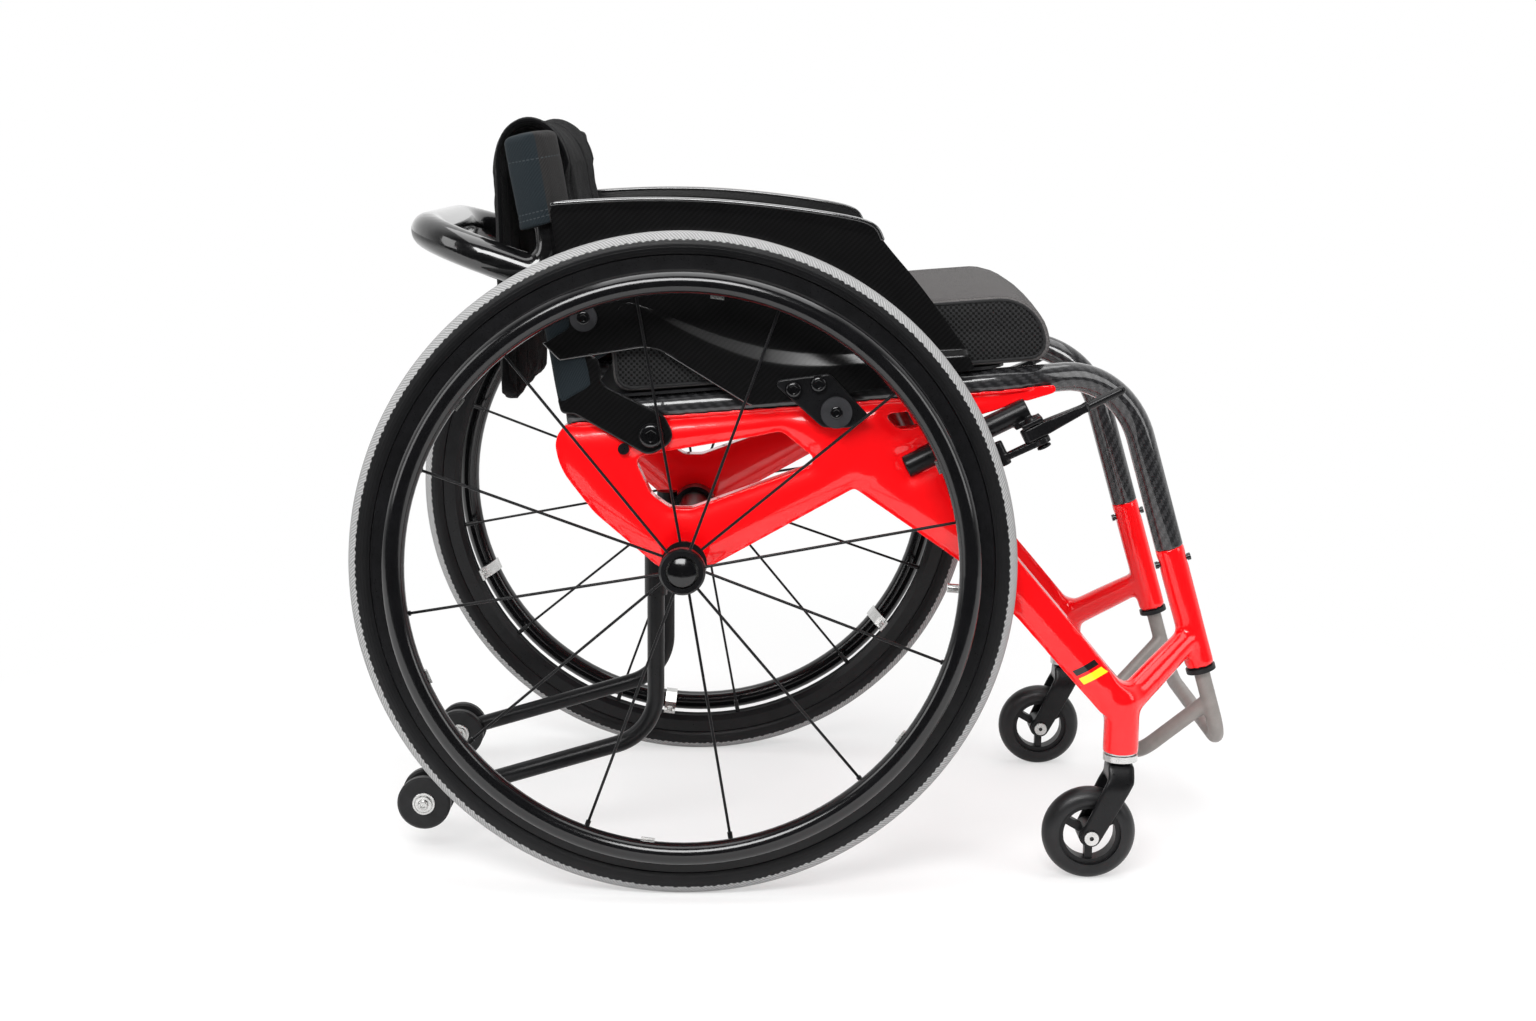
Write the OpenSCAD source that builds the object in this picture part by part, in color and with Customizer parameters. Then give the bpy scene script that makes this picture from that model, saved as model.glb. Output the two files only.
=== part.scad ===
// Rigid sports wheelchair with cambered wheels, fold-down back, anti-tippers and scissor brakes.
// Millimetres. +X forward, +Y to the occupant's left, +Z up.
// The origin is on the floor, under the middle of the box.
// Pieces are drawn for the left side, with +Y outboard, and mirrored for the right side.

/* [Rear wheels] */
// Outer diameter of the rear tyre
wheel_d = 590; // [560:1:620]
// Width of the rear tyre
tyre_w = 25; // [23:0.5:30]
// Wall of the rear tyre
tyre_wall = 3.5; // [2.5:0.5:5]
// Camber of each rear wheel in degrees
camber = 2.5; // [0:0.5:3]
// Distance at the hub from a side frame's outer face to the rear wheel's middle plane
hub_gap = 39.5; // [37:0.5:52]
// Radial depth of the rim
rim_depth = 17; // [14:0.5:22]
// Width of the rim
rim_w = 20; // [18:0.5:22]
// Diameter of the handrim's tube
handrim_tube = 20; // [16:0.5:22]
// Diameter of the handrim along its tube's middle
handrim_d = 502; // [480:1:510]
// Sideways distance from the wheel's middle plane to the handrim's
handrim_offset = 31; // [28:0.5:36]
// Number of spokes
spoke_count = 12; // [8:2:24]
// Diameter of a spoke
spoke_d = 2.6; // [2:0.1:4]
// Number of handrim tabs
tab_count = 6; // [4:1:8]
// Diameter of the quick-release axle
axle_d = 12.7; // [12:0.1:13]
// Travel of the axle's release button
button_travel = 4; // [2:0.5:5]

/* [Casters] */
// Outer diameter of the caster tyre
caster_d = 86; // [76:1:96]
// Width of the caster tyre
caster_w = 24; // [20:1:26]
// Distance of the caster axle behind the swivel axis
caster_trail = 27; // [20:1:34]
// Distance of the swivel axis outboard of the side frame's middle plane
caster_out = 16; // [13:1:23]
// Outer diameter of the caster head
head_d = 32.6; // [32:0.2:36]
// Diameter of the fork's stem
stem_d = 12; // [10:0.5:14]

/* [Side frame] */
// Distance from the cushion's side out to the side frame's outer face
side_gap = 3; // [2:0.5:6]
// Thickness of a side frame
frame_t = 28; // [24:0.5:30]
// Slope of the seat rails in degrees, up to the front
seat_angle = 4.8; // [2:0.2:6]
// Outer diameter of the carbon seat rail
rail_d = 26; // [24:0.5:27]
// Wall of the carbon seat rail
rail_wall = 2; // [1.5:0.1:2.4]
// Outer diameter of the front socket
socket_d = 27; // [26:0.5:30]
// Length of the front socket
socket_l = 119; // [105:1:130]
// Outer diameter of the rear axle cross tube
axle_tube_d = 34; // [32:0.5:38]
// Outer diameter of the front cross tube
cross_tube_d = 22; // [18:0.5:25]

/* [Footrest] */
// Outer diameter of the footrest tube
foot_tube_d = 15; // [13:0.5:17]
// Bend radius of the footrest corners
foot_bend = 30; // [24:1:34]

/* [Seat and guards] */
// Height of the cushion at its side seam
cushion_h = 62; // [50:1:80]
// Crown of the cushion above its side seam
cushion_crown = 13; // [3:0.5:18]
// Depth of the cushion, back to front
cushion_l = 398; // [370:1:405]
// Width of the cushion, which the widths of the frame, wheels and back follow
cushion_w = 360; // [340:1:400]
// Thickness of the seat base
base_t = 2.5; // [2:0.5:4]
// Thickness of a side guard
guard_t = 2.5; // [1.5:0.1:3]

/* [Backrest] */
// Recline of the back canes in degrees
back_angle = 10.2; // [6:0.2:12]
// Length of a back cane
cane_l = 216; // [200:1:226]
// Diameter of a back cane
cane_d = 24; // [20:0.5:26]
// Diameter of the push bar's tube
push_bar_d = 32; // [26:0.5:34]
// Diameter of the fabric sleeves round the canes
sleeve_d = 41; // [38:0.5:42]
// Thickness of the back upholstery
pad_t = 10; // [6:0.5:12]

/* [Anti-tippers and brakes] */
// Distance of an anti-tip arm inboard of the side frame
arm_inset = 35; // [30:1:45]
// Outer diameter of an anti-tip arm
arm_d = 16; // [14:0.5:18]
// Diameter of an anti-tip wheel
anti_tip_wheel_d = 50; // [44:1:54]
// Length of the brake lever ahead of its pivot
lever_l = 82; // [70:1:90]

/* [Hidden] */
$fn = 40;
slip = 0.05;
snug = 0.02;
clear = 0.3;
// Shank of the screws that hold the guards and the anti-tip wheels
screw_r = 3;
// Shank of the screws that clamp the footrest
clamp_screw_r = 2.5;

// Finishes
red = "#e8141c";
black = "#1c1d20";
carbon = "#26282b";
grey = "#8d8a88";
silver = "#c9c9c6";
fabric = "#2b2c2f";

// Heights and places that the rest follows.
// The chassis frame has its origin on the axle line, at x = 0.
wheel_r = wheel_d / 2;
axle_z = (wheel_r - tyre_w / 2) * cos(camber) + tyre_w / 2;
frame_out = cushion_w / 2 + side_gap;
frame_in = frame_out - frame_t;
frame_y = frame_out - frame_t / 2;
wheel_y = frame_out + hub_gap;
rail_r = rail_d / 2;
rail_z = 137;
function rail_height(x) = rail_z + x * tan(seat_angle);

// Seat rail: straight over the frame, drawn in towards the knee, then down into the socket
knee_in = 42;
knee_y = frame_y - knee_in;
rail_rear = [-104, frame_y, rail_height(-104)];
rail_turn = [300, frame_y, rail_height(300)];
rail_knee = [398, knee_y, rail_height(398) - 3.5];
rail_end = [446, knee_y, 5.3];
rail_path = [rail_rear, rail_turn, rail_knee, rail_end];
rail_bends = [0, 120, 80, 0];
leg_dir = unit(rail_end - rail_knee);
socket_end = rail_end + leg_dir * socket_l;

// Caster head
head_x = 398.5;
head_y = frame_y + caster_out;
head_z = -177.2;
head_h = 54;
head_floor = axle_z + head_z;
bearing_r = 14;
cup_h = 5.8;

// Footrest, given by distances down the socket's axis from its lower end
leg_up = 46 + socket_l;
bush_l = 30;
flange_h = 4.5;
foot_bore = rail_r - rail_wall;
strut_drop = 35;
front_drop = 77;
foot_front = socket_end + leg_dir * front_drop;
strut_start = socket_end + leg_dir * strut_drop;
foot_rear = [428, knee_y - 27, -203];

// Overall placing
front_reach = foot_front[0] + foot_tube_d / 2;
axle_x = (wheel_r - front_reach) / 2;

// Hub, in the wheel's own frame with +Z outboard
axle_r = axle_d / 2;
hub_in = -28;
hub_out = 30;
hub_r = 16.5;
flange_r = 20.5;
flange_w = 19;
race_r = 14.29;
race_w = 8;
pin_head_w = hub_out - race_w + 0.3;
button_r = 3;
receiver_r = 10;
receiver_in = -86;
pin_in = receiver_in - 8;
rim_r = wheel_r - tyre_w + 4;
rim_inner = rim_r - rim_depth;

// Back
pivot = [-30, 112.3];
pivot_r = 5;
plate_t = 3.5;
plate_y = frame_out + 0.5;
cane_base = [-96, frame_y - 1, 144.3];
push_bar_rise = 104;
push_bar_reach = [-238, 289];
push_bar_bend = 75;
pad_half_w = cane_base[1] - sleeve_d / 2 - clear;
cane_start = 4;
lug_z = 14;
lug_r = 9;
sleeve_low = 30;
sleeve_l = 112;

// Guards
guard_y = frame_out + 6.5;
guard_step = 4;
disc_at = [134, 136];
bracket_bolts = [[96, 156], [118, 161]];
knob_at = [-89, 217];
disc_r = 14;
knob_r = 12;
spacer_r = 8;
bolt_head_r = 7.5;
bolt_nut_r = 5;

// Anti-tippers
arm_r = arm_d / 2;
arm_y = frame_in - arm_inset;
arm_x = -29;
arm_low = -180;
arm_wheel = [-246, -244.7];
arm_bend = 52;
clamp_half = 12;
clamp_wall = 4.5;
cup_wall = 2.5;

// Brakes: the lever plane lies along brake_dir and Y, with brake_up square to it
brake_at = [312, frame_out + 12.3, 120.3];
brake_slope = 26.6;
brake_tube_r = 10;
brake_tube_rise = 19.5;
brake_tube_in = -15;
shoe_back = 36.6;
shoe_in = -3.3;
brake_pin_r = 4;
brake_head_r = 6.5;
lever_tip_r = 4.5;

function unit(v) = v / norm(v);
function tangent_len(p, b, i) =
  b[i] == 0 ? 0 : b[i] * tan(turn_angle(p, i) / 2);
function turn_angle(p, i) = acos(max(-1, min(1, unit(p[i] - p[i - 1]) * unit(p[i + 1] - p[i]))));

// Corner points of a polygon, each [x, y, radius], with its corners turned into arcs
function rounded(v, steps = 5) = [
  for (i = [0:len(v) - 1])
    let (
      n = len(v),
      p = [v[i][0], v[i][1]],
      a = unit([v[(i + n - 1) % n][0], v[(i + n - 1) % n][1]] - p),
      b = unit([v[(i + 1) % n][0], v[(i + 1) % n][1]] - p),
      half = acos(a * b) / 2,
      mid = unit(a + b),
      r = v[i][2],
      centre = p + mid * r / sin(half),
      from = p + a * r / tan(half) - centre,
      to = p + b * r / tan(half) - centre
    )
    for (k = [0:(r > 0 ? steps : 0)])
      r > 0 ? centre + unit(from * (1 - k / steps) + to * k / steps) * r : p
];

// Placing
module chassis() {
  translate([axle_x, 0, axle_z]) children();
}

module both() {
  children();
  mirror([0, 1, 0]) children();
}

module right() {
  mirror([0, 1, 0]) children();
}

module axle_line() {
  translate([0, wheel_y, 0]) rotate([camber - 90, 0, 0]) children();
}

module rod(a, b, r, r_end = undef) {
  d = b - a;
  translate(a)
    rotate([0, acos(d[2] / norm(d)), atan2(d[1], d[0])])
      cylinder(h = norm(d), r1 = r, r2 = is_undef(r_end) ? r : r_end);
}

// Bend of a tube at corner i of a path
module elbow(p, b, i, r) {
  u = unit(p[i] - p[i - 1]);
  v = unit(p[i + 1] - p[i]);
  n = unit(v - u * (u * v));
  w = cross(u, n);
  c = p[i] - u * tangent_len(p, b, i) + n * b[i];
  multmatrix([
    [-n[0], u[0], w[0], c[0]],
    [-n[1], u[1], w[1], c[1]],
    [-n[2], u[2], w[2], c[2]]
  ])
    rotate_extrude(angle = turn_angle(p, i)) translate([b[i], 0]) circle(r);
}

// Tube along a path of corner points with a bend radius at each corner.
// A thin collar joins each bend to its straights.
collar = 0.04;
joint_gap = 0.3;

module tube_path(p, b, r) {
  last = len(p) - 2;
  for (i = [0:last]) {
    u = unit(p[i + 1] - p[i]);
    from = p[i] + u * (i == 0 ? 0 : tangent_len(p, b, i));
    to = p[i + 1] - u * (i == last ? 0 : tangent_len(p, b, i + 1));
    rod(from + u * (i == 0 ? 0 : joint_gap), to - u * (i == last ? 0 : joint_gap), r);
    if (i > 0) rod(from - u, from + u, r + collar);
    if (i < last) rod(to - u, to + u, r + collar);
  }
  for (i = [1:last]) elbow(p, b, i, r);
}

// Extrusion of a drawing in the XZ plane between two Y values
module slab(y0, y1) {
  translate([0, y1, 0]) rotate([90, 0, 0]) linear_extrude(y1 - y0) children();
}

module pin_y(x, z, y0, y1, r) {
  translate([x, y1, z]) rotate([90, 0, 0]) cylinder(h = y1 - y0, r = r);
}

// Side frame outlines, counterclockwise, as [x, z, corner radius]
deck = rail_z - 5;
function deck_height(x) = deck + x * tan(seat_angle);
main_outline = rounded([
  [0, -19, 12], [30, -4, 14], [152, 65, 40], [260, 131, 40], [330, deck_height(330) - 7, 2],
  [330, deck_height(330), 2], [-121, deck_height(-121), 22], [-112, 80, 60], [-82, 41, 60], [-26, -7, 14]
]);
down_outline = rounded([
  [120, 80, 12], [152, 65, 8], [248, 0, 90], [302, -52, 60], [386, -146, 7],
  [400, -114, 7], [304, -2, 60], [224, 93, 30], [150, 132, 10]
]);
window_outline = rounded([
  [-46, 91, 6], [-30, 57, 10], [-13, 45, 8], [6, 45, 6],
  [121, 88, 6], [86, 116, 8], [60, 110.5, 30], [-10, 98, 4]
]);
slot_outline = rounded([
  [176, 132, 3], [190, 119, 3], [203, 119.5, 6], [252, 140, 2]
]);
// The down tube leans outboard, from lean_x to the caster head
lean_x = 180;
lean = atan((head_y - frame_y) / (head_x - lean_x));

module head_axis() {
  translate([head_x, head_y, head_z]) children();
}

module frame_bodies() {
  slab(frame_in, frame_out) polygon(main_outline);
  translate([lean_x, frame_y, 0])
    rotate([0, 0, lean])
      slab(-frame_t / 2, frame_t / 2)
        polygon([for (p = down_outline) [(p[0] - lean_x) / cos(lean), p[1]]]);
  head_axis() cylinder(h = head_h, d = head_d);
  head_axis() translate([0, 0, head_h - 4]) sphere(d = head_d + 1.4);
  rod([head_x + 2, head_y, head_z + 46], branch_top, 14.5, 12);
  rod(rail_end + leg_dir * 0.2, socket_end, socket_d / 2);
}
branch_top = socket_end - leg_dir * 32;

module side_frame() {
  color(red)
    difference() {
      frame_bodies();
      slab(frame_in - 20, frame_out + 20) polygon(window_outline);
      slab(frame_in - 20, frame_out + 20) polygon(slot_outline);
      tube_path(rail_path, rail_bends, rail_r + snug);
      axle_line() translate([0, 0, -90]) cylinder(h = 80, r = receiver_r + snug);
      pin_y(pivot[0], pivot[1], frame_in + 6, frame_out + 1, pivot_r + snug);
      pin_y(disc_at[0], disc_at[1], frame_out - 3.5, frame_out + 1, screw_r + snug);
      head_axis() translate([0, 0, -1]) cylinder(h = 45, r = bearing_r + snug);
      rod(rail_end - leg_dir, socket_end + leg_dir, foot_bore + snug);
      brake_plane() brake_tube(brake_tube_r + snug);
      for (s = [-1, 1])
        screw_line(s) translate([0, 0, foot_bore - 1]) cylinder(h = 9, r = clamp_screw_r + snug);
    }
}

module seat_rail() {
  color(carbon)
    difference() {
      tube_path(rail_path, rail_bends, rail_r);
      rod(rail_end - leg_dir * 92, rail_end + leg_dir, foot_bore);
      rod(rail_rear - [1, 0, tan(seat_angle)], rail_rear + 380 * unit(rail_turn - rail_rear), foot_bore);
    }
}

// Cross members
tube_drop = -(wheel_y - frame_in) * tan(camber);
axle_tube_wall = 3;
cross_tube_wall = 2;
cross_at = [210, 90];

module axle_tube() {
  color(black)
    chassis()
      difference() {
        pin_y(0, tube_drop, -frame_in, frame_in, axle_tube_d / 2);
        pin_y(0, tube_drop, -frame_in - 1, frame_in + 1, axle_tube_d / 2 - axle_tube_wall);
      }
}

module cross_tube() {
  color(black)
    chassis()
      difference() {
        pin_y(cross_at[0], cross_at[1], -frame_in, frame_in, cross_tube_d / 2);
        pin_y(cross_at[0], cross_at[1], -frame_in - 1, frame_in + 1, cross_tube_d / 2 - cross_tube_wall);
      }
}

module axle_receivers() {
  color(silver)
    chassis()
      both()
        axle_line()
          difference() {
            translate([0, 0, receiver_in]) cylinder(h = hub_in - receiver_in - 0.6, r = receiver_r);
            translate([0, 0, receiver_in - 1]) cylinder(h = 80, r = axle_r + slip);
          }
}

module anti_tip_receivers() {
  color(black)
    chassis()
      both()
        difference() {
          union() {
            pin_y(0, tube_drop, arm_y - clamp_half, arm_y + clamp_half, axle_tube_d / 2 + clamp_wall);
            translate([arm_x, arm_y, -46]) cylinder(h = 58, r = arm_r + cup_wall);
            translate([arm_x, arm_y - 7, tube_drop - 10]) cube([20, 14, 20]);
          }
          pin_y(0, tube_drop, arm_y - 20, arm_y + 20, axle_tube_d / 2 + snug);
          translate([arm_x, arm_y, -50]) cylinder(h = 57, r = arm_r + slip);
        }
}

// Caster bearings in the head, and the bright cup below it
module caster_head_bearings() {
  color(silver)
    chassis()
      both()
        head_axis() {
          ring(0.5, race_w, stem_d / 2 + slip, bearing_r);
          ring(34, race_w, stem_d / 2 + slip, bearing_r);
          ring(-cup_h, cup_h, stem_d / 2 + 1.5, head_d / 2 - 0.6);
        }
}

module ring(z, h, r_in, r_out) {
  translate([0, 0, z])
    difference() {
      cylinder(h = h, r = r_out);
      translate([0, 0, -1]) cylinder(h = h + 2, r = r_in);
    }
}

// Footrest
module socket_axis() {
  translate(socket_end)
    rotate([0, acos(-leg_dir[2]), atan2(-leg_dir[1], -leg_dir[0])]) children();
}

module screw_line(s) {
  socket_axis() translate([0, 0, socket_l - 15]) rotate([0, 90 * s, 0]) children();
}

module footrest_bushes() {
  color(black)
    chassis()
      both()
        socket_axis() {
          difference() {
            union() {
              cylinder(h = bush_l, r = foot_bore);
              translate([0, 0, -flange_h]) cylinder(h = flange_h, d = socket_d + 0.6);
            }
            translate([0, 0, -flange_h - 1]) cylinder(h = bush_l + 8, r = foot_tube_d / 2 + slip);
          }
          ring(socket_l - 25, 20, foot_tube_d / 2 + slip, foot_bore);
        }
}

module footrest_screws() {
  color(black)
    chassis()
      both()
        for (s = [-1, 1])
          screw_line(s) {
            translate([0, 0, foot_bore + 0.2])
              cylinder(h = socket_d / 2 - foot_bore + 1, r = clamp_screw_r);
            translate([0, 0, socket_d / 2 + 0.3]) cylinder(h = 3, r = 3.4);
          }
}

module footrest_frame() {
  far = [foot_front[0], -foot_front[1], foot_front[2]];
  leg_top = socket_end - leg_dir * leg_up;
  front = [leg_top, foot_front, far, [leg_top[0], -leg_top[1], leg_top[2]]];
  near_start = [strut_start[0], strut_start[1] - 2, strut_start[2]];
  rear = [
    near_start, foot_rear, [foot_rear[0], -foot_rear[1], foot_rear[2]],
    [near_start[0], -near_start[1], near_start[2]]
  ];
  bends = [0, foot_bend, foot_bend, 0];
  color(grey)
    chassis() {
      tube_path(front, bends, foot_tube_d / 2);
      tube_path(rear, bends, foot_tube_d / 2 - 0.1);
    }
}

// Seat, in a frame along the rails with its origin on the rails' line over the axle
module seat_plane() {
  chassis() translate([0, 0, rail_z]) rotate([0, -seat_angle, 0]) children();
}
base_z = rail_r + clear;
cushion_z = base_z + base_t + clear;
cushion_x = -64;

module seat_base() {
  w = cushion_w / 2;
  rear = cushion_x - 20;
  front = cushion_x + cushion_l - 46;
  base = rounded([[rear, -w, 20], [front, -w, 30], [front, w, 30], [rear, w, 20]]);
  color(black) seat_plane() translate([0, 0, base_z]) linear_extrude(base_t) polygon(base);
}

// Cushion: rounded box whose sides draw in between the seams, with a crowned top and a falling front edge
cushion_rows = 26;
cushion_ring = 36;
function box_curve(s, e) = sign(s) * pow(abs(s), e);
function cushion_point(u, a) =
  let (
    ends = pow(max(0, 1 - pow(abs(2 * u - 1), 9)), 0.25),
    w = cushion_w / 2 * (0.955 + 0.045 * ends),
    c = box_curve(cos(a), 0.3),
    s = box_curve(sin(a), 0.34),
    draw_in = 1 - 0.022 * (1 - s * s),
    front = pow(max(0, (u - 0.76) / 0.24), 2),
    top = cushion_h + cushion_crown * (1 - c * c) * ends - 26 * front,
    mid = cushion_h / 2 - 3 * front,
    z = s > 0 ? mid + (top - mid) * s * (0.25 + 0.75 * ends) : mid + mid * s * (0.3 + 0.7 * ends)
  )
  [cushion_x + cushion_l * u, w * c * draw_in, max(0, z)];

module seat_cushion() {
  n = cushion_ring;
  stations = [for (i = [0:cushion_rows]) (1 - cos(180 * i / cushion_rows)) / 2];
  points = [
    for (u = stations)
      for (k = [0:n - 1]) cushion_point(u, 360 * (k + 0.5) / n)
  ];
  sides = [
    for (i = [0:cushion_rows - 1])
      for (k = [0:n - 1])
        let (a = i * n + k, b = i * n + (k + 1) % n)
        each [[a, a + n, b + n], [a, b + n, b]]
  ];
  caps = [
    for (k = [1:n - 2])
      each [[0, k, k + 1], [cushion_rows * n, cushion_rows * n + k + 1, cushion_rows * n + k]]
  ];
  color(fabric) seat_plane() translate([0, 0, cushion_z]) polyhedron(points, concat(sides, caps));
}

// Side guard: a folded sheet. Points are [x, z, outboard step]; the lower part stands proud of the upper
guard_points = [
  [-116, 316, 3], [-57, 320.5, 3], [14, 321, 3], [84, 315, 3], [150, 306, 3], [168, 299, 3],
  [-118, 308, 0], [-57, 312, 0], [14, 312, 0], [84, 305, 0], [150, 295, 0], [172, 288, 0],
  [-124, 194, 0], [-54, 235, 0], [64, 188, 0], [155, 187, 0], [248, 192, 0], [186, 271, 0], [207, 248, 0],
  [-50, 232, 0], [64, 169, guard_step], [155, 178, guard_step], [250, 186, guard_step],
  [-110, 180, 0], [-38, 192, 0], [-24, 191, 0], [59, 141, guard_step], [113, 147, guard_step],
  [178, 159, guard_step], [256, 175, guard_step]
];
guard_faces = [
  [0, 1, 7, 6], [1, 2, 8, 7], [2, 3, 9, 8], [3, 4, 10, 9], [4, 5, 11, 10],
  [6, 7, 13, 12], [7, 8, 14, 13], [8, 9, 15, 14], [9, 10, 11, 17, 18, 16, 15],
  [13, 14, 20, 19], [14, 15, 21, 20], [15, 16, 22, 21],
  [12, 13, 19, 24, 23], [19, 20, 26, 25, 24], [20, 21, 27, 26], [21, 22, 29, 28, 27]
];

module folded_sheet(points, faces, y, t) {
  n = len(points);
  outer = [for (p = points) [p[0], y + t + p[2], p[1]]];
  inner = [for (p = points) [p[0], y + p[2], p[1]]];
  tris = [for (f = faces) for (k = [1:len(f) - 2]) [f[0], f[k], f[k + 1]]];
  edges = [for (f = tris) for (k = [0:2]) [f[k], f[(k + 1) % 3]]];
  rim = [for (e = edges) if (len([for (o = edges) if (o == [e[1], e[0]]) 1]) == 0) e];
  polyhedron(
    concat(outer, inner),
    concat(
      [for (f = tris) [f[2], f[1], f[0]]],
      [for (f = tris) [f[0] + n, f[1] + n, f[2] + n]],
      [for (e = rim) each [[e[0], e[1], e[1] + n], [e[0], e[1] + n, e[0] + n]]]
    )
  );
}

module side_guard() {
  color(carbon)
    difference() {
      folded_sheet(guard_points, guard_faces, guard_y, guard_t);
      for (p = bracket_bolts) pin_y(p[0], p[1], guard_y - 5, guard_y + 20, screw_r + snug);
      pin_y(knob_at[0], knob_at[1], guard_y - 5, guard_y + 20, screw_r + snug);
    }
}
bracket_y = guard_y + guard_step + guard_t + 0.1;
bracket_t = 3;
bracket_outline = rounded([
  [76, 163, 4], [128, 170, 6], [164, 132, 3], [146, 122, 10], [122, 122, 10]
]);

module guard_brackets() {
  color(black)
    chassis()
      both()
        difference() {
          slab(bracket_y, bracket_y + bracket_t) polygon(bracket_outline);
          for (p = concat(bracket_bolts, [disc_at]))
            pin_y(p[0], p[1], bracket_y - 1, bracket_y + 9, screw_r + snug);
        }
}

module guard_fasteners() {
  color(black)
    chassis()
      both() {
        for (p = bracket_bolts) {
          pin_y(p[0], p[1], guard_y + guard_step - 2, bracket_y + bracket_t + 1, screw_r);
          pin_y(p[0], p[1], bracket_y + bracket_t, bracket_y + bracket_t + 3.4, bolt_head_r);
          pin_y(p[0], p[1], guard_y + guard_step - 3.5, guard_y + guard_step - 0.1, bolt_nut_r);
        }
        pin_y(disc_at[0], disc_at[1], frame_out - 3.4, bracket_y + bracket_t + 1, screw_r);
        pin_y(disc_at[0], disc_at[1], bracket_y + bracket_t, bracket_y + bracket_t + 4.5, disc_r);
        difference() {
          pin_y(disc_at[0], disc_at[1], frame_out + 0.1, bracket_y - 0.1, spacer_r);
          pin_y(disc_at[0], disc_at[1], frame_out - 1, bracket_y + 1, screw_r + snug);
        }
        pin_y(knob_at[0], knob_at[1], guard_y, guard_y + guard_t + 2, screw_r);
        pin_y(knob_at[0], knob_at[1], guard_y + guard_t + 0.1, guard_y + guard_t + 5, knob_r);
      }
}

// Backrest: hinge plates on the frame's outer faces, canes and push bar moulded as one
stop_at = [-54.7, 99.7];
stop_r = 5;
plate_outline = rounded([
  [-8, 108, 12], [-32, 93, 14], [-98, 130.5, 6], [-110, 131, 5], [-113, 143, 5],
  [-92, 186, 10], [-76, 180, 8], [-74, 158, 10], [-18, 130, 14]
]);

module back_pivots() {
  color(black)
    chassis()
      both() {
        pin_y(pivot[0], pivot[1], frame_in + 7, plate_y + plate_t + 1, pivot_r);
        difference() {
          pin_y(pivot[0], pivot[1], plate_y + plate_t + clear, plate_y + plate_t + 4.5, 11);
          pin_y(pivot[0], pivot[1], plate_y + plate_t + 3, plate_y + plate_t + 6, 4);
        }
        pin_y(stop_at[0], stop_at[1], frame_out + 0.1, plate_y + plate_t, stop_r);
      }
}

module back_plane() {
  chassis() translate([cane_base[0], 0, cane_base[2]]) rotate([0, -back_angle, 0]) children();
}

module back_hinge_plates() {
  color(black)
    chassis()
      both()
        difference() {
          slab(plate_y, plate_y + plate_t) polygon(plate_outline);
          pin_y(pivot[0], pivot[1], plate_y - 1, plate_y + plate_t + 1, pivot_r + slip);
        }
}

// Corner of the push bar in the back's own frame
bar_reach = [push_bar_reach[0] - cane_base[0], push_bar_reach[1] - cane_base[2]];
bar_corner = [
  bar_reach[0] * cos(back_angle) + bar_reach[1] * sin(back_angle),
  bar_reach[1] * cos(back_angle) - bar_reach[0] * sin(back_angle)
];

module back_frame() {
  y = cane_base[1];
  bar = [
    [0, y, push_bar_rise], [bar_corner[0], y, bar_corner[1]],
    [bar_corner[0], -y, bar_corner[1]], [0, -y, push_bar_rise]
  ];
  color(carbon)
    back_plane() {
      tube_path(bar, [0, push_bar_bend, push_bar_bend, 0], push_bar_d / 2);
      both() {
        translate([0, y, cane_start]) cylinder(h = cane_l, d = cane_d);
        translate([-1, y, push_bar_rise]) sphere(d = push_bar_d + 1);
        pin_y(0, lug_z, y + cane_d / 2 - 8, plate_y - 0.1, lug_r);
      }
    }
}

// Upholstery: a padded sheet over a hump, with a hanging rear flap, and a sleeve on each cane
pad_rows = 34;
pad_cols = 12;
hump_z = 205;
hump_h = 43;
front_x = 26;
rear_x = -36;
front_z = 44;
flap_z = 2;
flap_lean = 30;
flap_fold = 1.5;
pad_sag = 12;
front_l = hump_z - front_z;
flap_l = hump_z - flap_z;
hump_l = 120;
pad_l = front_l + hump_l + flap_l;

// The front skin's edges are drawn back to lie against the sleeves
pad_pull = front_x - 12.5;
pad_edge = cane_base[1] - sqrt(pow(sleeve_d / 2 + 0.2, 2) - pow(12.5 - pad_t / 5, 2));

function pad_mid(s) =
  s < front_l ? [front_x, front_z + s]
  : s < front_l + hump_l
    ? let (a = 180 * (s - front_l) / hump_l)
      [(front_x + rear_x) / 2 + (front_x - rear_x) / 2 * cos(a), hump_z + hump_h * sin(a)]
    : let (d = s - front_l - hump_l)
      [rear_x - flap_lean * d / flap_l, hump_z - d];
function pad_normal(s) =
  let (d = unit(pad_mid(min(pad_l, s + 0.5)) - pad_mid(max(0, s - 0.5)))) [d[1], -d[0]];
function pad_point(s, v, side) =
  let (
    m = pad_mid(s),
    n = pad_normal(s),
    sag = pad_sag * (1 - v * v) * sin(min(180, 180 * s / (front_l + hump_l))),
    flap = max(0, (s - front_l - hump_l) / flap_l),
    fold = flap_fold * flap * cos(540 * v),
    edge = 1 - 0.6 * pow(abs(v), 8),
    pull = max(0, 1 - max(0, s / front_l - 0.85) / 0.15) * pow(abs(v), 8)
  )
  [m[0] + n[0] * side * edge * pad_t / 2 - (s < front_l + hump_l ? sag : 0) + fold - pull * pad_pull,
   v * (pad_half_w + pull * (pad_edge - pad_half_w)),
   m[1] + n[1] * side * edge * pad_t / 2 - (s > front_l ? 0.3 : 0) * sag];

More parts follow.
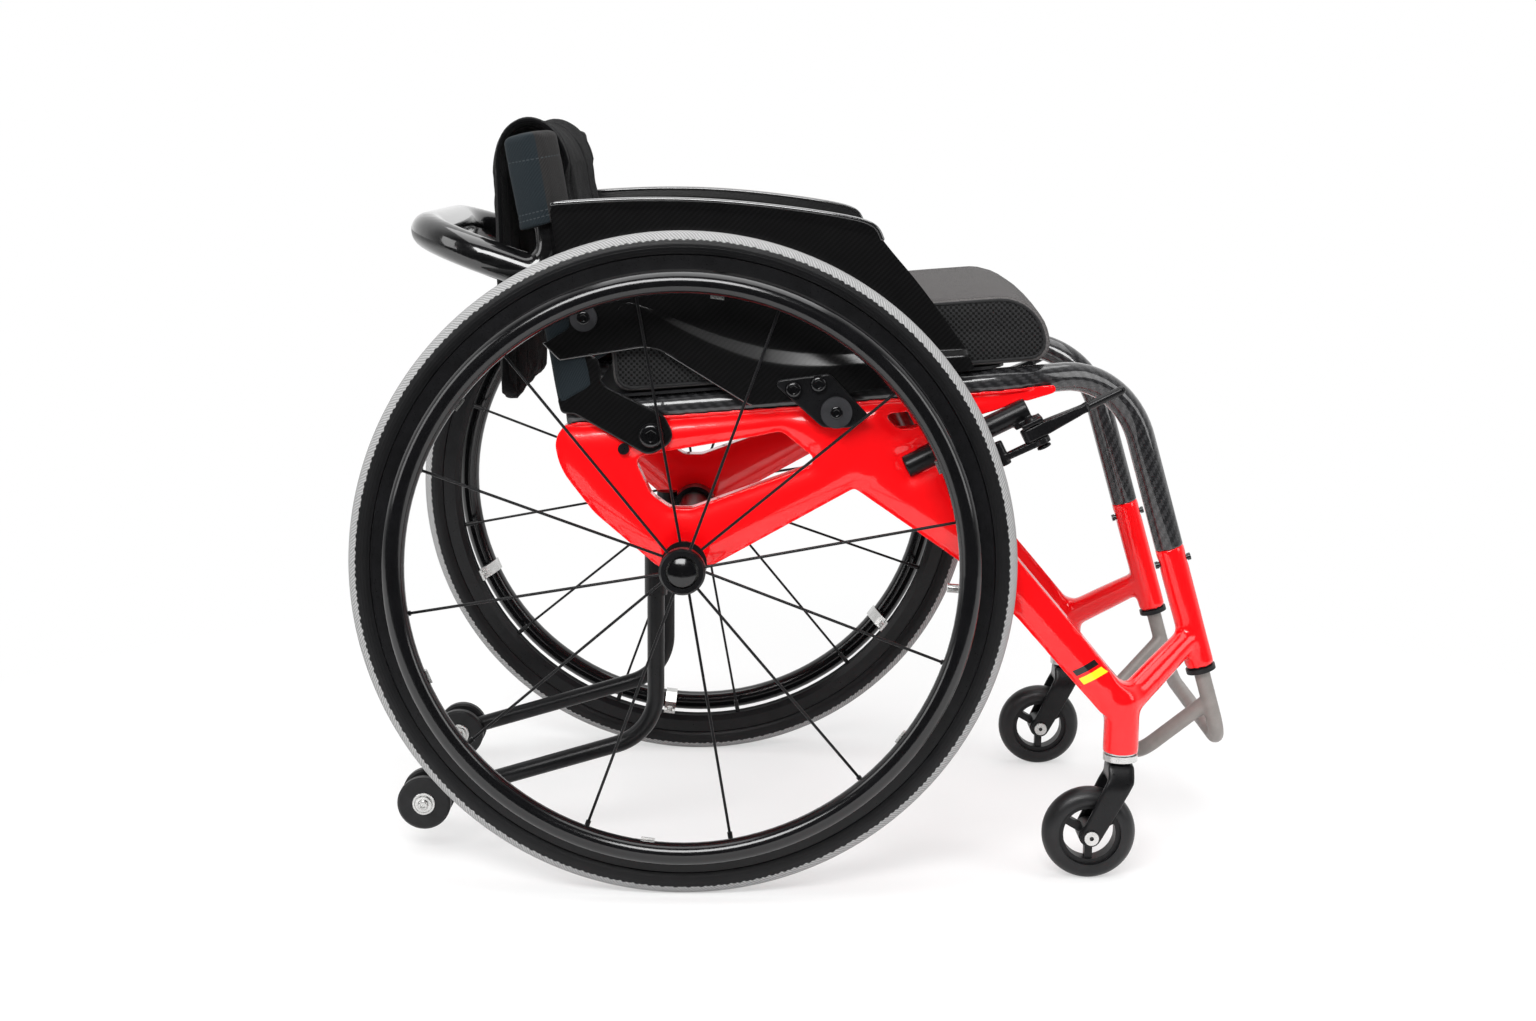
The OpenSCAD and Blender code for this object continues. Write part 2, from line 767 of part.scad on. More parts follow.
module back_upholstery() {
  rows = [for (i = [0:pad_rows]) pad_l * i / pad_rows];
  w = pad_cols + 1;
  n = len(rows) * w;
  points = [
    for (side = [1, -1])
      for (s = rows)
        for (k = [0:pad_cols]) pad_point(s, 2 * k / pad_cols - 1, side)
  ];
  skins = [
    for (i = [0:pad_rows - 1])
      for (k = [0:pad_cols - 1])
        let (a = i * w + k, b = a + w)
        each [
          [a, b, b + 1], [a, b + 1, a + 1],
          [n + a, n + b + 1, n + b], [n + a, n + a + 1, n + b + 1]
        ]
  ];
  ends = [
    for (k = [0:pad_cols - 1])
      let (a = k, b = pad_rows * w + k)
      each [[a, a + 1, n + a + 1], [a, n + a + 1, n + a], [b, n + b + 1, b + 1], [b, n + b, n + b + 1]]
  ];
  edges = [
    for (i = [0:pad_rows - 1])
      let (a = i * w, b = a + w, c = a + pad_cols, d = c + w)
      each [[a, n + b, b], [a, n + a, n + b], [c, d, n + d], [c, n + d, n + c]]
  ];
  color(fabric)
    back_plane() {
      polyhedron(points, concat(skins, ends, edges));
      both()
        translate([0, cane_base[1], 0]) {
          difference() {
            sleeve(sleeve_low, push_bar_rise - push_bar_d / 2 - 3 - sleeve_low);
            translate([-30, plate_y - clear - cane_base[1], 0]) cube([60, 20, 44]);
          }
          difference() {
            translate([0, 0, push_bar_rise + push_bar_d / 2 + 4]) cylinder(h = sleeve_l, d = sleeve_d);
            cylinder(h = cane_l + cane_start + 1, d = cane_d + 2 * clear);
            rod([0, 0, push_bar_rise], [bar_corner[0], 0, bar_corner[1]], push_bar_d / 2 + 1);
          }
        }
    }
}

module sleeve(z, h) {
  ring(z, h, cane_d / 2 + clear, sleeve_d / 2);
}

// Rear wheel, in its own frame with +Z outboard
module wheel(side) {
  chassis() if (side > 0) axle_line() children(); else right() axle_line() children();
}

module tyre(side) {
  r = wheel_r - tyre_w / 2;
  color(black)
    wheel(side)
      rotate_extrude()
        difference() {
          translate([r, 0]) circle(d = tyre_w);
          translate([r, 0]) circle(d = tyre_w - 2 * tyre_wall);
          translate([0, -tyre_w]) square([rim_r + 0.1, 2 * tyre_w]);
        }
}

module rim(side) {
  w = rim_w / 2;
  color(black)
    wheel(side)
      rotate_extrude()
        polygon([
          [rim_inner, -w + 4], [rim_inner, w - 4], [rim_inner + 5, w], [rim_r, w], [rim_r, w - 4.5],
          [rim_r - 8, w - 5.5], [rim_r - 8, -w + 5.5], [rim_r, -w + 4.5], [rim_r, -w], [rim_inner + 5, -w]
        ]);
}

module spokes(side) {
  color(black)
    wheel(side)
      for (i = [0:spoke_count - 1]) {
        w = i % 2 == 0 ? 1 : -1;
        rotate([0, 0, -10 - i * 360 / spoke_count]) {
          hub_end = [hub_r + 1, 0, w * flange_w];
          rim_end = [rim_inner + 2, 0, w * 2];
          rod(hub_end, rim_end, spoke_d / 2);
          rod(rim_end - 15 * unit(rim_end - hub_end), rim_end, 2.3);
        }
      }
}

module hub(side) {
  color(black)
    wheel(side)
      rotate_extrude()
        polygon([
          [axle_r + 2, hub_in + race_w], [race_r + snug, hub_in + race_w], [race_r + snug, hub_in],
          [hub_r, hub_in], [hub_r, -flange_w - 2], [flange_r, -flange_w - 2], [flange_r, -flange_w + 2],
          [hub_r, -flange_w + 2], [hub_r - 4, -10], [hub_r - 4, 10], [hub_r, flange_w - 2],
          [flange_r, flange_w - 2], [flange_r, hub_out - 3], [flange_r - 2, hub_out],
          [race_r + snug, hub_out], [race_r + snug, hub_out - 2 * race_w],
          [axle_r + 2, hub_out - 2 * race_w]
        ]);
}

module hub_bearings(side) {
  color(silver)
    wheel(side) {
      ring(hub_in, race_w, axle_r + slip, race_r);
      ring(hub_out - 2 * race_w, race_w, axle_r + slip, race_r);
    }
}

module handrim(side) {
  color(black)
    wheel(side)
      translate([0, 0, handrim_offset])
        rotate_extrude() translate([handrim_d / 2, 0]) circle(d = handrim_tube);
}

module rim_fittings(side) {
  hand_in = handrim_d / 2 - handrim_tube / 2;
  color(silver)
    wheel(side) {
      for (i = [0:tab_count - 1])
        rotate([0, 0, -23 - i * 360 / tab_count]) {
          rotate([90, 0, 0])
            translate([0, 0, -6])
              linear_extrude(12)
                polygon([
                  [rim_inner + 0.5, -5], [rim_inner + 0.5, 6], [rim_inner - 6, 12], [hand_in + 3, 24],
                  [hand_in + 0.6, handrim_offset], [hand_in - 2.4, handrim_offset], [hand_in - 0.5, 22],
                  [rim_inner - 9, 9], [rim_inner - 3, 4], [rim_inner - 3, -5]
                ]);
          translate([rim_inner - 6, 0, 0]) rotate([0, 90, 0]) cylinder(h = 3.5, r = 3);
        }
      rotate([0, 0, 4]) {
        rod([rim_inner - 22, 0, 0], [rim_inner + 1, 0, 0], 3);
        rod([rim_inner - 23, 0, 0], [rim_inner - 12, 0, 0], 4);
      }
    }
}

module axle_pin(side) {
  color(silver)
    wheel(side)
      difference() {
        union() {
          translate([0, 0, pin_in]) cylinder(h = pin_head_w + 2 - pin_in, r = axle_r);
          translate([0, 0, pin_head_w]) cylinder(h = 2, r = axle_r + 3);
        }
        translate([0, 0, -12]) cylinder(h = 60, r = button_r + slip);
      }
}

module axle_button(side) {
  cap_w = pin_head_w + 2 + button_travel + 0.4;
  cap_r = race_r - 1.8;
  color(black)
    wheel(side) {
      cylinder(h = cap_w + 1, r = button_r);
      translate([0, 0, cap_w]) cylinder(h = 3, r = cap_r);
      translate([0, 0, cap_w + 3])
        intersection() {
          cylinder(h = 3, r = cap_r);
          translate([0, 0, 3 - cap_r * 2.2]) sphere(r = cap_r * 2.2);
        }
    }
}

// Caster: measured from the floor, with the swivel axis at x = head_x
caster_r = caster_d / 2;
crown_top = head_floor - cup_h - 0.5;
crown_low = caster_r * 2 + 7;
caster_axle_x = head_x - caster_trail;
blade_in = caster_w / 2 + 3;
blade_t = 4.5;
blade_end_r = 9.5;
bolt_r = 4;
caster_rim_r = caster_r - 14.5;
caster_rim_in = caster_r - 19;
caster_hub_r = 10.5;
caster_hub_w = blade_in - 1.5;
caster_race_r = 8;
caster_race_w = 6;

module caster_place(side) {
  translate([axle_x, 0, 0])
    if (side > 0) translate([0, head_y, 0]) children();
    else right() translate([0, head_y, 0]) children();
}

module caster_fork(side) {
  rake = unit([head_x - caster_axle_x, crown_low - caster_r]);
  off = blade_end_r * [rake[1], -rake[0]];
  low = [caster_axle_x, caster_r];
  front_x = head_x + 11.5;
  rear_x = head_x - 12.5;
  color(black)
    caster_place(side)
      difference() {
        union() {
          for (y = [blade_in, -blade_in - blade_t])
            slab(y, y + blade_t) {
              polygon([
                low - off, low + off, [front_x, crown_low], [front_x, crown_top - 2],
                [rear_x, crown_top - 2], [rear_x, crown_low + 5]
              ]);
              translate(low) circle(blade_end_r);
            }
          translate([rear_x, -blade_in - blade_t, crown_low])
            cube([front_x - rear_x, 2 * (blade_in + blade_t), crown_top - crown_low - 2]);
          translate([head_x, 0, crown_low]) cylinder(h = crown_top - crown_low, r = head_d / 2 - 5);
          translate([head_x, 0, crown_low]) cylinder(h = head_floor + 43 - crown_low, d = stem_d);
        }
        pin_y(caster_axle_x, caster_r, -blade_in - 10, blade_in + 10, bolt_r + snug);
      }
}

module caster_axle(side) {
  half = blade_in + blade_t;
  color(silver)
    caster_place(side) {
      pin_y(caster_axle_x, caster_r, -half - 1, half + 1, bolt_r);
      for (y = [half + 0.1, -half - 3.1])
        difference() {
          pin_y(caster_axle_x, caster_r, y, y + 3, 6.5);
          pin_y(caster_axle_x, caster_r, y > 0 ? y + 1 : y - 1, y > 0 ? y + 4 : y + 2, 2);
        }
    }
}

module caster_rim(side) {
  color(black)
    caster_place(side)
      translate([caster_axle_x, 0, caster_r])
        rotate([-90, 0, 0])
          difference() {
            union() {
              ring(-8, 16, caster_rim_in, caster_rim_r);
              translate([0, 0, -caster_hub_w]) cylinder(h = 2 * caster_hub_w, r = caster_hub_r);
              for (a = [90, 210, 330])
                rotate([0, 0, a]) translate([9, -3.5, -5]) cube([caster_rim_in - 7, 7, 10]);
            }
            translate([0, 0, -caster_hub_w - 1])
              cylinder(h = 2 * caster_hub_w + 2, r = caster_race_r + snug);
          }
}

module caster_tyre(side) {
  color(black)
    caster_place(side)
      translate([caster_axle_x, 0, caster_r])
        rotate([-90, 0, 0])
          rotate_extrude()
            difference() {
              translate([caster_r - caster_w / 2, 0]) circle(d = caster_w);
              translate([0, -caster_w]) square([caster_rim_r + snug, 2 * caster_w]);
            }
}

module caster_bearings(side) {
  color(silver)
    caster_place(side)
      translate([caster_axle_x, 0, caster_r])
        rotate([-90, 0, 0]) {
          ring(-caster_hub_w, caster_race_w, bolt_r + slip, caster_race_r);
          ring(caster_hub_w - caster_race_w, caster_race_w, bolt_r + slip, caster_race_r);
        }
}

// Anti-tippers
module anti_tip_place(side) {
  chassis()
    if (side > 0) translate([0, arm_y, 0]) children();
    else right() translate([0, arm_y, 0]) children();
}
wheel_gap = 1.2;
washer_r = 7.5;
wheel_half = 11;
wheels_out = arm_r + wheel_gap + wheel_half;

module anti_tip_arm(side) {
  path = [[arm_x, 0, 6], [arm_x, 0, arm_low], [arm_wheel[0], 0, arm_wheel[1]]];
  color(black)
    anti_tip_place(side) {
      difference() {
        union() {
          tube_path(path, [0, arm_bend, 0], arm_r);
          pin_y(arm_wheel[0], arm_wheel[1], -arm_r, arm_r, arm_r + 2);
        }
        pin_y(arm_wheel[0], arm_wheel[1], -20, 20, screw_r + snug);
      }
      pin_y(arm_wheel[0], arm_wheel[1], -wheels_out - 1, wheels_out + 1, screw_r);
      both() pin_y(arm_wheel[0], arm_wheel[1], wheels_out + clear, wheels_out + 3, washer_r);
    }
}

module anti_tip_wheels(side) {
  r = anti_tip_wheel_d / 2;
  color(black)
    anti_tip_place(side)
      for (s = [0, 1])
        mirror([0, s, 0])
          translate([arm_wheel[0], arm_r + wheel_gap, arm_wheel[1]])
            rotate([-90, 0, 0])
              rotate_extrude()
                polygon([
                  [screw_r + slip, 0], [r - 2, 0], [r, 2], [r, wheel_half - 2], [r - 2, wheel_half],
                  [11, wheel_half], [11, wheel_half - 1], [screw_r + slip, wheel_half - 1]
                ]);
}

// Brakes
module brake_plane() {
  translate(brake_at) rotate([0, -brake_slope, 0]) children();
}

module brake_tube(r) {
  rod([-118, brake_tube_in, brake_tube_rise], [2, brake_tube_in, brake_tube_rise], r);
}

module brake_mounts() {
  color(black)
    chassis()
      both()
        brake_plane() {
          difference() {
            union() {
              brake_tube(brake_tube_r);
              translate([-16, brake_tube_in - 4, 7]) cube([14, 12, 6]);
              translate([-11, brake_tube_in - 4, 7]) cube([20, 28, 4]);
            }
            translate([-30, brake_tube_in, brake_tube_rise])
              rotate([0, 90, 0]) cylinder(h = 60, r = brake_tube_r - 2);
            cylinder(h = 30, r = brake_pin_r + snug);
          }
          translate([0, 0, -14.5]) cylinder(h = 26, r = brake_pin_r);
          translate([0, 0, 11.1]) cylinder(h = 2.5, r = brake_head_r);
          translate([0, 0, -16.5]) cylinder(h = 2.5, r = brake_head_r);
        }
}

module brake_place(side) {
  chassis() if (side > 0) brake_plane() children(); else right() brake_plane() children();
}

module brake_lever(side) {
  grip = rounded([[-14, -8, 6], [50, -6, 3], [50, 6, 3], [-14, 8, 6]]);
  color(black)
    brake_place(side)
      difference() {
        union() {
          translate([0, 0, -6]) linear_extrude(12) polygon(grip);
          rod([44, 0, 0], [lever_l, 0, 0], lever_tip_r);
          translate([lever_l, 0, 0]) sphere(lever_tip_r);
        }
        translate([0, 0, -7]) cylinder(h = 14, r = brake_pin_r + slip);
      }
}

module brake_shoe(side) {
  color(black)
    brake_place(side)
      difference() {
        union() {
          translate([0, 0, -12.5]) cylinder(h = 6, r = 8);
          translate([0, 0, -12.5])
            linear_extrude(6)
              polygon([[0, -7], [0, 7], [-shoe_back, shoe_in + 5], [-shoe_back, shoe_in - 5]]);
          translate([-shoe_back, shoe_in, -16]) cylinder(h = 22, r = 5);
        }
        translate([0, 0, -20]) cylinder(h = 30, r = brake_pin_r + slip);
      }
}

chassis() right() side_frame();  // side_frame_right
chassis() side_frame();  // side_frame_left
chassis() right() seat_rail();  // seat_rail_right
chassis() seat_rail();  // seat_rail_left
axle_tube();
cross_tube();
axle_receivers();
anti_tip_receivers();
caster_head_bearings();
footrest_bushes();
footrest_screws();
seat_base();
seat_cushion();
chassis() right() side_guard();  // side_guard_right
chassis() side_guard();  // side_guard_left
guard_brackets();
guard_fasteners();
back_pivots();
brake_mounts();
footrest_frame();
caster_fork(-1);  // caster_fork_right
caster_axle(-1);  // caster_axle_right
caster_rim(-1);  // caster_rim_right
caster_tyre(-1);  // caster_tyre_right
caster_bearings(-1);  // caster_bearings_right
caster_fork(1);  // caster_fork_left
caster_axle(1);  // caster_axle_left
caster_rim(1);  // caster_rim_left
caster_tyre(1);  // caster_tyre_left
caster_bearings(1);  // caster_bearings_left
tyre(-1);  // tyre_right
rim(-1);  // rim_right
spokes(-1);  // spokes_right
hub(-1);  // hub_right
hub_bearings(-1);  // hub_bearings_right
handrim(-1);  // handrim_right
rim_fittings(-1);  // rim_fittings_right
axle_pin(-1);  // axle_pin_right
axle_button(-1);  // axle_button_right
tyre(1);  // tyre_left
rim(1);  // rim_left
spokes(1);  // spokes_left
hub(1);  // hub_left
hub_bearings(1);  // hub_bearings_left
handrim(1);  // handrim_left
rim_fittings(1);  // rim_fittings_left
axle_pin(1);  // axle_pin_left
axle_button(1);  // axle_button_left
anti_tip_arm(-1);  // anti_tip_arm_right
anti_tip_wheels(-1);  // anti_tip_wheels_right
anti_tip_arm(1);  // anti_tip_arm_left
anti_tip_wheels(1);  // anti_tip_wheels_left
brake_lever(-1);  // brake_lever_right
brake_shoe(-1);  // brake_shoe_right
brake_lever(1);  // brake_lever_left
brake_shoe(1);  // brake_shoe_left
back_frame();
back_hinge_plates();
back_upholstery();
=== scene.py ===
import math

import bmesh
import bpy
from mathutils import Matrix, Vector, kdtree, noise


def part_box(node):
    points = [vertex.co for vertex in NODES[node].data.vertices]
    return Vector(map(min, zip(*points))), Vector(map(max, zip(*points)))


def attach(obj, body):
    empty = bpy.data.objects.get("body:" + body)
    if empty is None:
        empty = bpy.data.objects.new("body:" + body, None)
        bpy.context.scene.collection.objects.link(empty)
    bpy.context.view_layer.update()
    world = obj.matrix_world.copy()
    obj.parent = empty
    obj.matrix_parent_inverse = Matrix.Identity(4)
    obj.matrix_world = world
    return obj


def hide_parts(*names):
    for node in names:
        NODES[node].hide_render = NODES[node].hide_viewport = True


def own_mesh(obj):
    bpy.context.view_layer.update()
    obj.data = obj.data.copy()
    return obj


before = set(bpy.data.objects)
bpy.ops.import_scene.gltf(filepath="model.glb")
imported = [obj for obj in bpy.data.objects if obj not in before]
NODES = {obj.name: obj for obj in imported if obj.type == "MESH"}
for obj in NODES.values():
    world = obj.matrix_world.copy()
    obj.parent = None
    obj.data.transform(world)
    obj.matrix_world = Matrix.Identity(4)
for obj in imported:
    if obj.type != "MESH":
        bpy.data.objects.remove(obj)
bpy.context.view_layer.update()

SIDES = {"right": -1, "left": 1}
MM = 0.001

# Driving places, taken from the frame. The axle's place is in metres; other lengths are in millimetres.
tyre_low, tyre_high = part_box("tyre_left")
AXLE_X = (tyre_low.x + tyre_high.x) / 2
WHEEL_R = (tyre_high.x - tyre_low.x) / 2 / MM
TYRE_R = 12.5
TREAD_HALF = 14.5
CAMBER = math.radians(2.5)
WHEEL_Y = 222.5
AXLE_Z = ((WHEEL_R - TYRE_R) * math.cos(CAMBER) + TYRE_R) * MM
SEAT_ANGLE = math.radians(4.8)
BACK_ANGLE = math.radians(10.2)
RAIL_Z = 137
CANE_X, CANE_Y, CANE_Z = -96, 168, 144.3
SLEEVE_R = 20.5
SLEEVE_SEAMS = (163, 168, 213)


# Frames of reference
def chassis(x, y, z):
    """Place measured from the axle line: x forward, y to the left, z up."""
    return Vector((AXLE_X + x * MM, y * MM, AXLE_Z + z * MM))


def mirrored(place, sign):
    """Place of the chassis on one of its sides."""
    x, y, z = place
    return chassis(x, sign * y, z)


def on_seat(x, y, z):
    """Place measured along the seat rails, with z square to them."""
    c, s = math.cos(SEAT_ANGLE), math.sin(SEAT_ANGLE)
    return chassis(x * c - z * s, y, RAIL_Z + x * s + z * c)


def on_back(x, y, z):
    """Place measured along the back canes, with x square to them."""
    c, s = math.cos(BACK_ANGLE), math.sin(BACK_ANGLE)
    return chassis(CANE_X + x * c - z * s, y, CANE_Z + x * s + z * c)


def turning_frame(centre, axis):
    """Matrix that takes Z to the axis and the origin to the centre."""
    across = Vector((1, 0, 0)) if abs(axis.x) < 0.9 else Vector((0, 1, 0))
    first = (across - axis * across.dot(axis)).normalized()
    second = axis.cross(first)
    turn = Matrix((first, second, axis)).transposed().to_4x4()
    return Matrix.Translation(centre) @ turn


def wheel_frame(sign):
    """Matrix that takes Z to the leaning axle of the rear wheel on one side."""
    axis = Vector((0, sign * math.cos(CAMBER), math.sin(CAMBER)))
    return turning_frame(chassis(0, sign * WHEEL_Y, 0), axis)


def ramp(value, low, high):
    """Share of the way from low to high, held at 0 before it and at 1 after it."""
    return min(1.0, max(0.0, (value - low) / (high - low)))


# Node networks. Most values of a noise lie in WIDE, and the middle ones in CORE.
WIDE = (0.3, 0.7)
CORE = (0.35, 0.65)


def opaque(colour):
    """Colour with full cover if it is given as numbers, or as it is."""
    return (*colour, 1) if isinstance(colour, (tuple, list)) else colour


class Net:
    """Short way to write a shader network."""

    def __init__(self, tree):
        """Starts with a tree of nodes."""
        self.tree = tree

    def add(self, kind, inputs=None, **settings):
        """New node, with its settings made and its inputs fed."""
        made = self.tree.nodes.new(kind)
        for name, value in settings.items():
            setattr(made, name, value)
        for key, value in (inputs or {}).items():
            self.feed(made.inputs[key], value)
        return made

    def feed(self, socket, value):
        """Links a value of the network to a socket, or sets the socket to a plain value."""
        if isinstance(value, bpy.types.NodeSocket):
            self.tree.links.new(value, socket)
        else:
            socket.default_value = value

    def math(self, operation, a, b=0.5):
        """Result of one operation."""
        return self.add("ShaderNodeMath", {0: a, 1: b}, operation=operation).outputs[0]

    def plus(self, a, b):
        """Sum of two values."""
        return self.math("ADD", a, b)

    def minus(self, a, b):
        """Difference of two values."""
        return self.math("SUBTRACT", a, b)

    def times(self, product, *others):
        """Product of values."""
        for other in others:
            product = self.math("MULTIPLY", product, other)
        return product

    def wave(self, value, length):
        """Sine wave with a length."""
        return self.math("SINE", self.times(value, 2 * math.pi / length))

    def mix(self, factor, a, b):
        """Colour between two others."""
        inputs = {0: factor, 6: opaque(a), 7: opaque(b)}
        return self.add("ShaderNodeMix", inputs, data_type="RGBA").outputs[2]

    def spread(self, value, low, high, to_low=0.0, to_high=1.0):
        """Value taken from one range to another and held inside it."""
        inputs = {0: value, 1: low, 2: high, 3: to_low, 4: to_high}
        return self.add("ShaderNodeMapRange", inputs).outputs[0]

    def grain(self, vector, scale, detail):
        """Noise over some coordinates."""
        inputs = {"Vector": vector, "Scale": scale, "Detail": detail}
        return self.add("ShaderNodeTexNoise", inputs).outputs["Fac"]

    def parts(self, vector):
        """The three numbers of a vector."""
        made = self.add("ShaderNodeSeparateXYZ", {0: vector})
        return made.outputs[0], made.outputs[1], made.outputs[2]

    def use(self, tree, **inputs):
        """Outputs of a shared effect."""
        return self.add("ShaderNodeGroup", inputs, node_tree=tree).outputs

    def bump(self, height, strength, distance):
        """Direction of a surface with a relief."""
        inputs = {"Height": height, "Strength": strength, "Distance": distance}
        return self.add("ShaderNodeBump", inputs).outputs[0]


class Effect(Net):
    """Network of an effect that finishes share. It is given coordinates and one measure."""

    def __init__(self, name, measure):
        """Starts with the inputs alone."""
        super().__init__(bpy.data.node_groups.new(name, "ShaderNodeTree"))
        for label, kind in (("Vector", "Vector"), (measure, "Float")):
            self.tree.interface.new_socket(label, in_out="INPUT", socket_type="NodeSocket" + kind)
        self.given = self.add("NodeGroupInput").outputs

    def cells(self):
        """First two coordinates, counted in steps of the measure."""
        x, y, _ = self.parts(self.given[0])
        return self.math("DIVIDE", x, self.given[1]), self.math("DIVIDE", y, self.given[1])

    def give(self, **results):
        """Names the results, links them and hands over the tree."""
        for label in results:
            self.tree.interface.new_socket(label, in_out="OUTPUT", socket_type="NodeSocketFloat")
        self.add("NodeGroupOutput", results)
        return self.tree


def make_twill():
    """Twill weave of carbon or cloth: two tows over, two under. Tow is the width of one tow."""
    net = Effect("carbon_twill", "Tow")
    u, v = net.cells()
    step = net.minus(net.math("FLOOR", u), net.math("FLOOR", v))
    warp = net.math("LESS_THAN", net.math("FLOORED_MODULO", step, 4.0), 2.0)
    arches = []
    for value in (v, u):
        part = net.math("FRACT", value)
        arches.append(net.times(part, net.minus(1.0, part), 4.0))
    over = net.times(arches[0], warp)
    under = net.times(arches[1], net.minus(1.0, warp))
    return net.give(Warp=warp, Height=net.plus(over, under))


def make_ribs():
    """Ribbed knit: ribs along the first coordinate, with a stitch along each rib."""
    net = Effect("ribbed_knit", "Pitch")
    along, across = net.cells()
    rib = net.math("ABSOLUTE", net.wave(across, 2))
    shift = net.times(net.math("FLOOR", across), 1.7)
    stitch = net.math("ABSOLUTE", net.math("SINE", net.plus(net.times(along, 2.2), shift)))
    return net.give(Height=net.times(rib, net.plus(net.times(stitch, 0.45), 0.55)))


def make_mesh_holes():
    """Spacer mesh: staggered holes in a knitted face, with Pitch between the holes of a row."""
    net = Effect("mesh_holes", "Pitch")
    along, across = [net.math("COSINE", net.times(cell, 2 * math.pi)) for cell in net.cells()]
    hole = net.spread(net.times(along, across), -0.02, 0.2)
    return net.give(Hole=hole, Height=net.minus(1.0, hole))


def make_speckle():
    """Fine uneven surface: a broad drift and a fine grain."""
    net = Effect("fine_speckle", "Scale")
    drift = net.grain(net.given[0], net.times(net.given[1], 0.08), 2.0)
    return net.give(Drift=drift, Grain=net.grain(net.given[0], net.given[1], 4.0))


TWILL = make_twill()
RIBS = make_ribs()
MESH_HOLES = make_mesh_holes()
SPECKLE = make_speckle()


# Finishes
class Finish(Net):
    """Network of a material, with its surface shader and its coordinates."""

    def __init__(self, name, **sockets):
        """Starts with an even surface."""
        self.material = bpy.data.materials.new(name)
        self.material.use_nodes = True
        super().__init__(self.material.node_tree)
        self.surface = self.tree.nodes["Principled BSDF"]
        self.place = self.add("ShaderNodeTexCoord").outputs
        self.shade(**sockets)

    def shade(self, **sockets):
        """Feeds the surface shader and hands over the material."""
        for key, value in sockets.items():
            self.feed(self.surface.inputs[key.replace("_", " ")], value)
        return self.material

    def speckle(self, coordinates, scale):
        """Fine speckle over the coordinates of a kind."""
        return self.use(SPECKLE, Vector=self.place[coordinates], Scale=scale)

    def graded(self, value, low, high):
        """Noise spread from low to high."""
        return self.spread(value, *WIDE, low, high)


# Bands on the down tube: a place on its outer face, the way along the tube, and the bands from there
BAND_AT = (361.6, -195.5, -95.9)
BAND_DIR = Vector((0.513, 0, -0.859))
LEAN_X = 180
LEAN = math.atan(16 / (398.5 - LEAN_X))
BAND_FACE = 169 + 14 / math.cos(LEAN) - 3.1
BANDS = [(-3.0, 3.0, (0.010, 0.010, 0.011)), (6.0, 13.0, (0.88, 0.70, 0.02))]

GRAIN_DEPTH = 0.2 * MM
RIB_PITCH = 2.8 * MM
MESH_PITCH = 5.0 * MM
SLEEVE_TOW = 0.8 * MM
SLEEVE_STITCH = 4 * MM
STITCH_HALF = 0.5 * MM
THREAD = (0.035, 0.042, 0.047)


def speckled(name, dark, light, rough, scale, strength=0.15, **sockets):
    """Plain finish with a broad drift of tone and a fine grain."""
    net = Finish(name, **sockets)
    speckle = net.speckle("Object", scale)
    tone = net.plus(net.times(speckle["Drift"], 0.6), net.times(speckle["Grain"], 0.4))
    return net.shade(
        Base_Color=net.mix(net.spread(tone, *CORE), dark, light),
        Roughness=net.graded(speckle["Grain"], *rough),
        Normal=net.bump(speckle["Grain"], strength, GRAIN_DEPTH),
    )


def make_red_paint():
    """Gloss red lacquer with a black and a yellow band round the down tube."""
    net = Finish("gloss_red_paint", Coat_Weight=0.6, Coat_Roughness=0.03, Specular_IOR_Level=0.2)
    speckle = net.speckle("Object", 260.0)
    tone = net.spread(speckle["Drift"], *WIDE)
    colour = net.mix(tone, (0.84, 0.0020, 0.0045), (0.90, 0.0028, 0.0055))
    x, y, z = net.parts(net.place["Object"])
    start = chassis(*BAND_AT)
    ahead = net.times(net.minus(x, start.x), BAND_DIR.x)
    along = net.plus(ahead, net.times(net.minus(z, start.z), BAND_DIR.z))
    leaning = net.times(net.minus(x, chassis(LEAN_X, 0, 0).x), math.tan(LEAN))
    outer = net.math("GREATER_THAN", net.minus(net.math("ABSOLUTE", y), leaning), BAND_FACE * MM)
    for first, last, band in BANDS:
        past = net.math("GREATER_THAN", along, first * MM)
        short = net.math("LESS_THAN", along, last * MM)
        colour = net.mix(net.times(past, short, outer), colour, band)
    return net.shade(Base_Color=colour, Roughness=net.graded(speckle["Grain"], 0.20, 0.23))


def make_carbon(name, coordinates, axes, tow, sheen_tones, rough, coat, specular, relief, coat_rough=0.05):
    """Woven carbon, lacquered or matte, with a painted sheen: the warp tows are lighter than the weft and
    brightest on their crowns. Axes picks the two coordinates that the cloth lies along.
    """
    net = Finish(name, Coat_Weight=coat, Coat_Roughness=coat_rough, Specular_IOR_Level=specular)
    parts = net.parts(net.place[coordinates])
    flat = net.add("ShaderNodeCombineXYZ", {0: parts[axes[0]], 1: parts[axes[1]]}).outputs[0]
    weave = net.use(TWILL, Vector=flat, Tow=tow * MM)
    crown_sheen = net.spread(weave["Height"], 0.0, 0.7, 0.4, 1.0)
    drift = net.graded(net.speckle("Object", 900.0)["Drift"], 0.6, 1.0)
    dark, light = sheen_tones
    # Painted sheen: warp tows lighter than the weft, brightest on their crowns and dimmer where they dip
    tone = net.times(weave["Warp"], crown_sheen, drift)
    return net.shade(
        Base_Color=net.mix(tone, (dark, dark, dark * 1.1), (light, light, light * 1.05)),
        Roughness=net.spread(weave["Warp"], 0.0, 1.0, *rough),
        Normal=net.bump(weave["Height"], relief, GRAIN_DEPTH),
    )


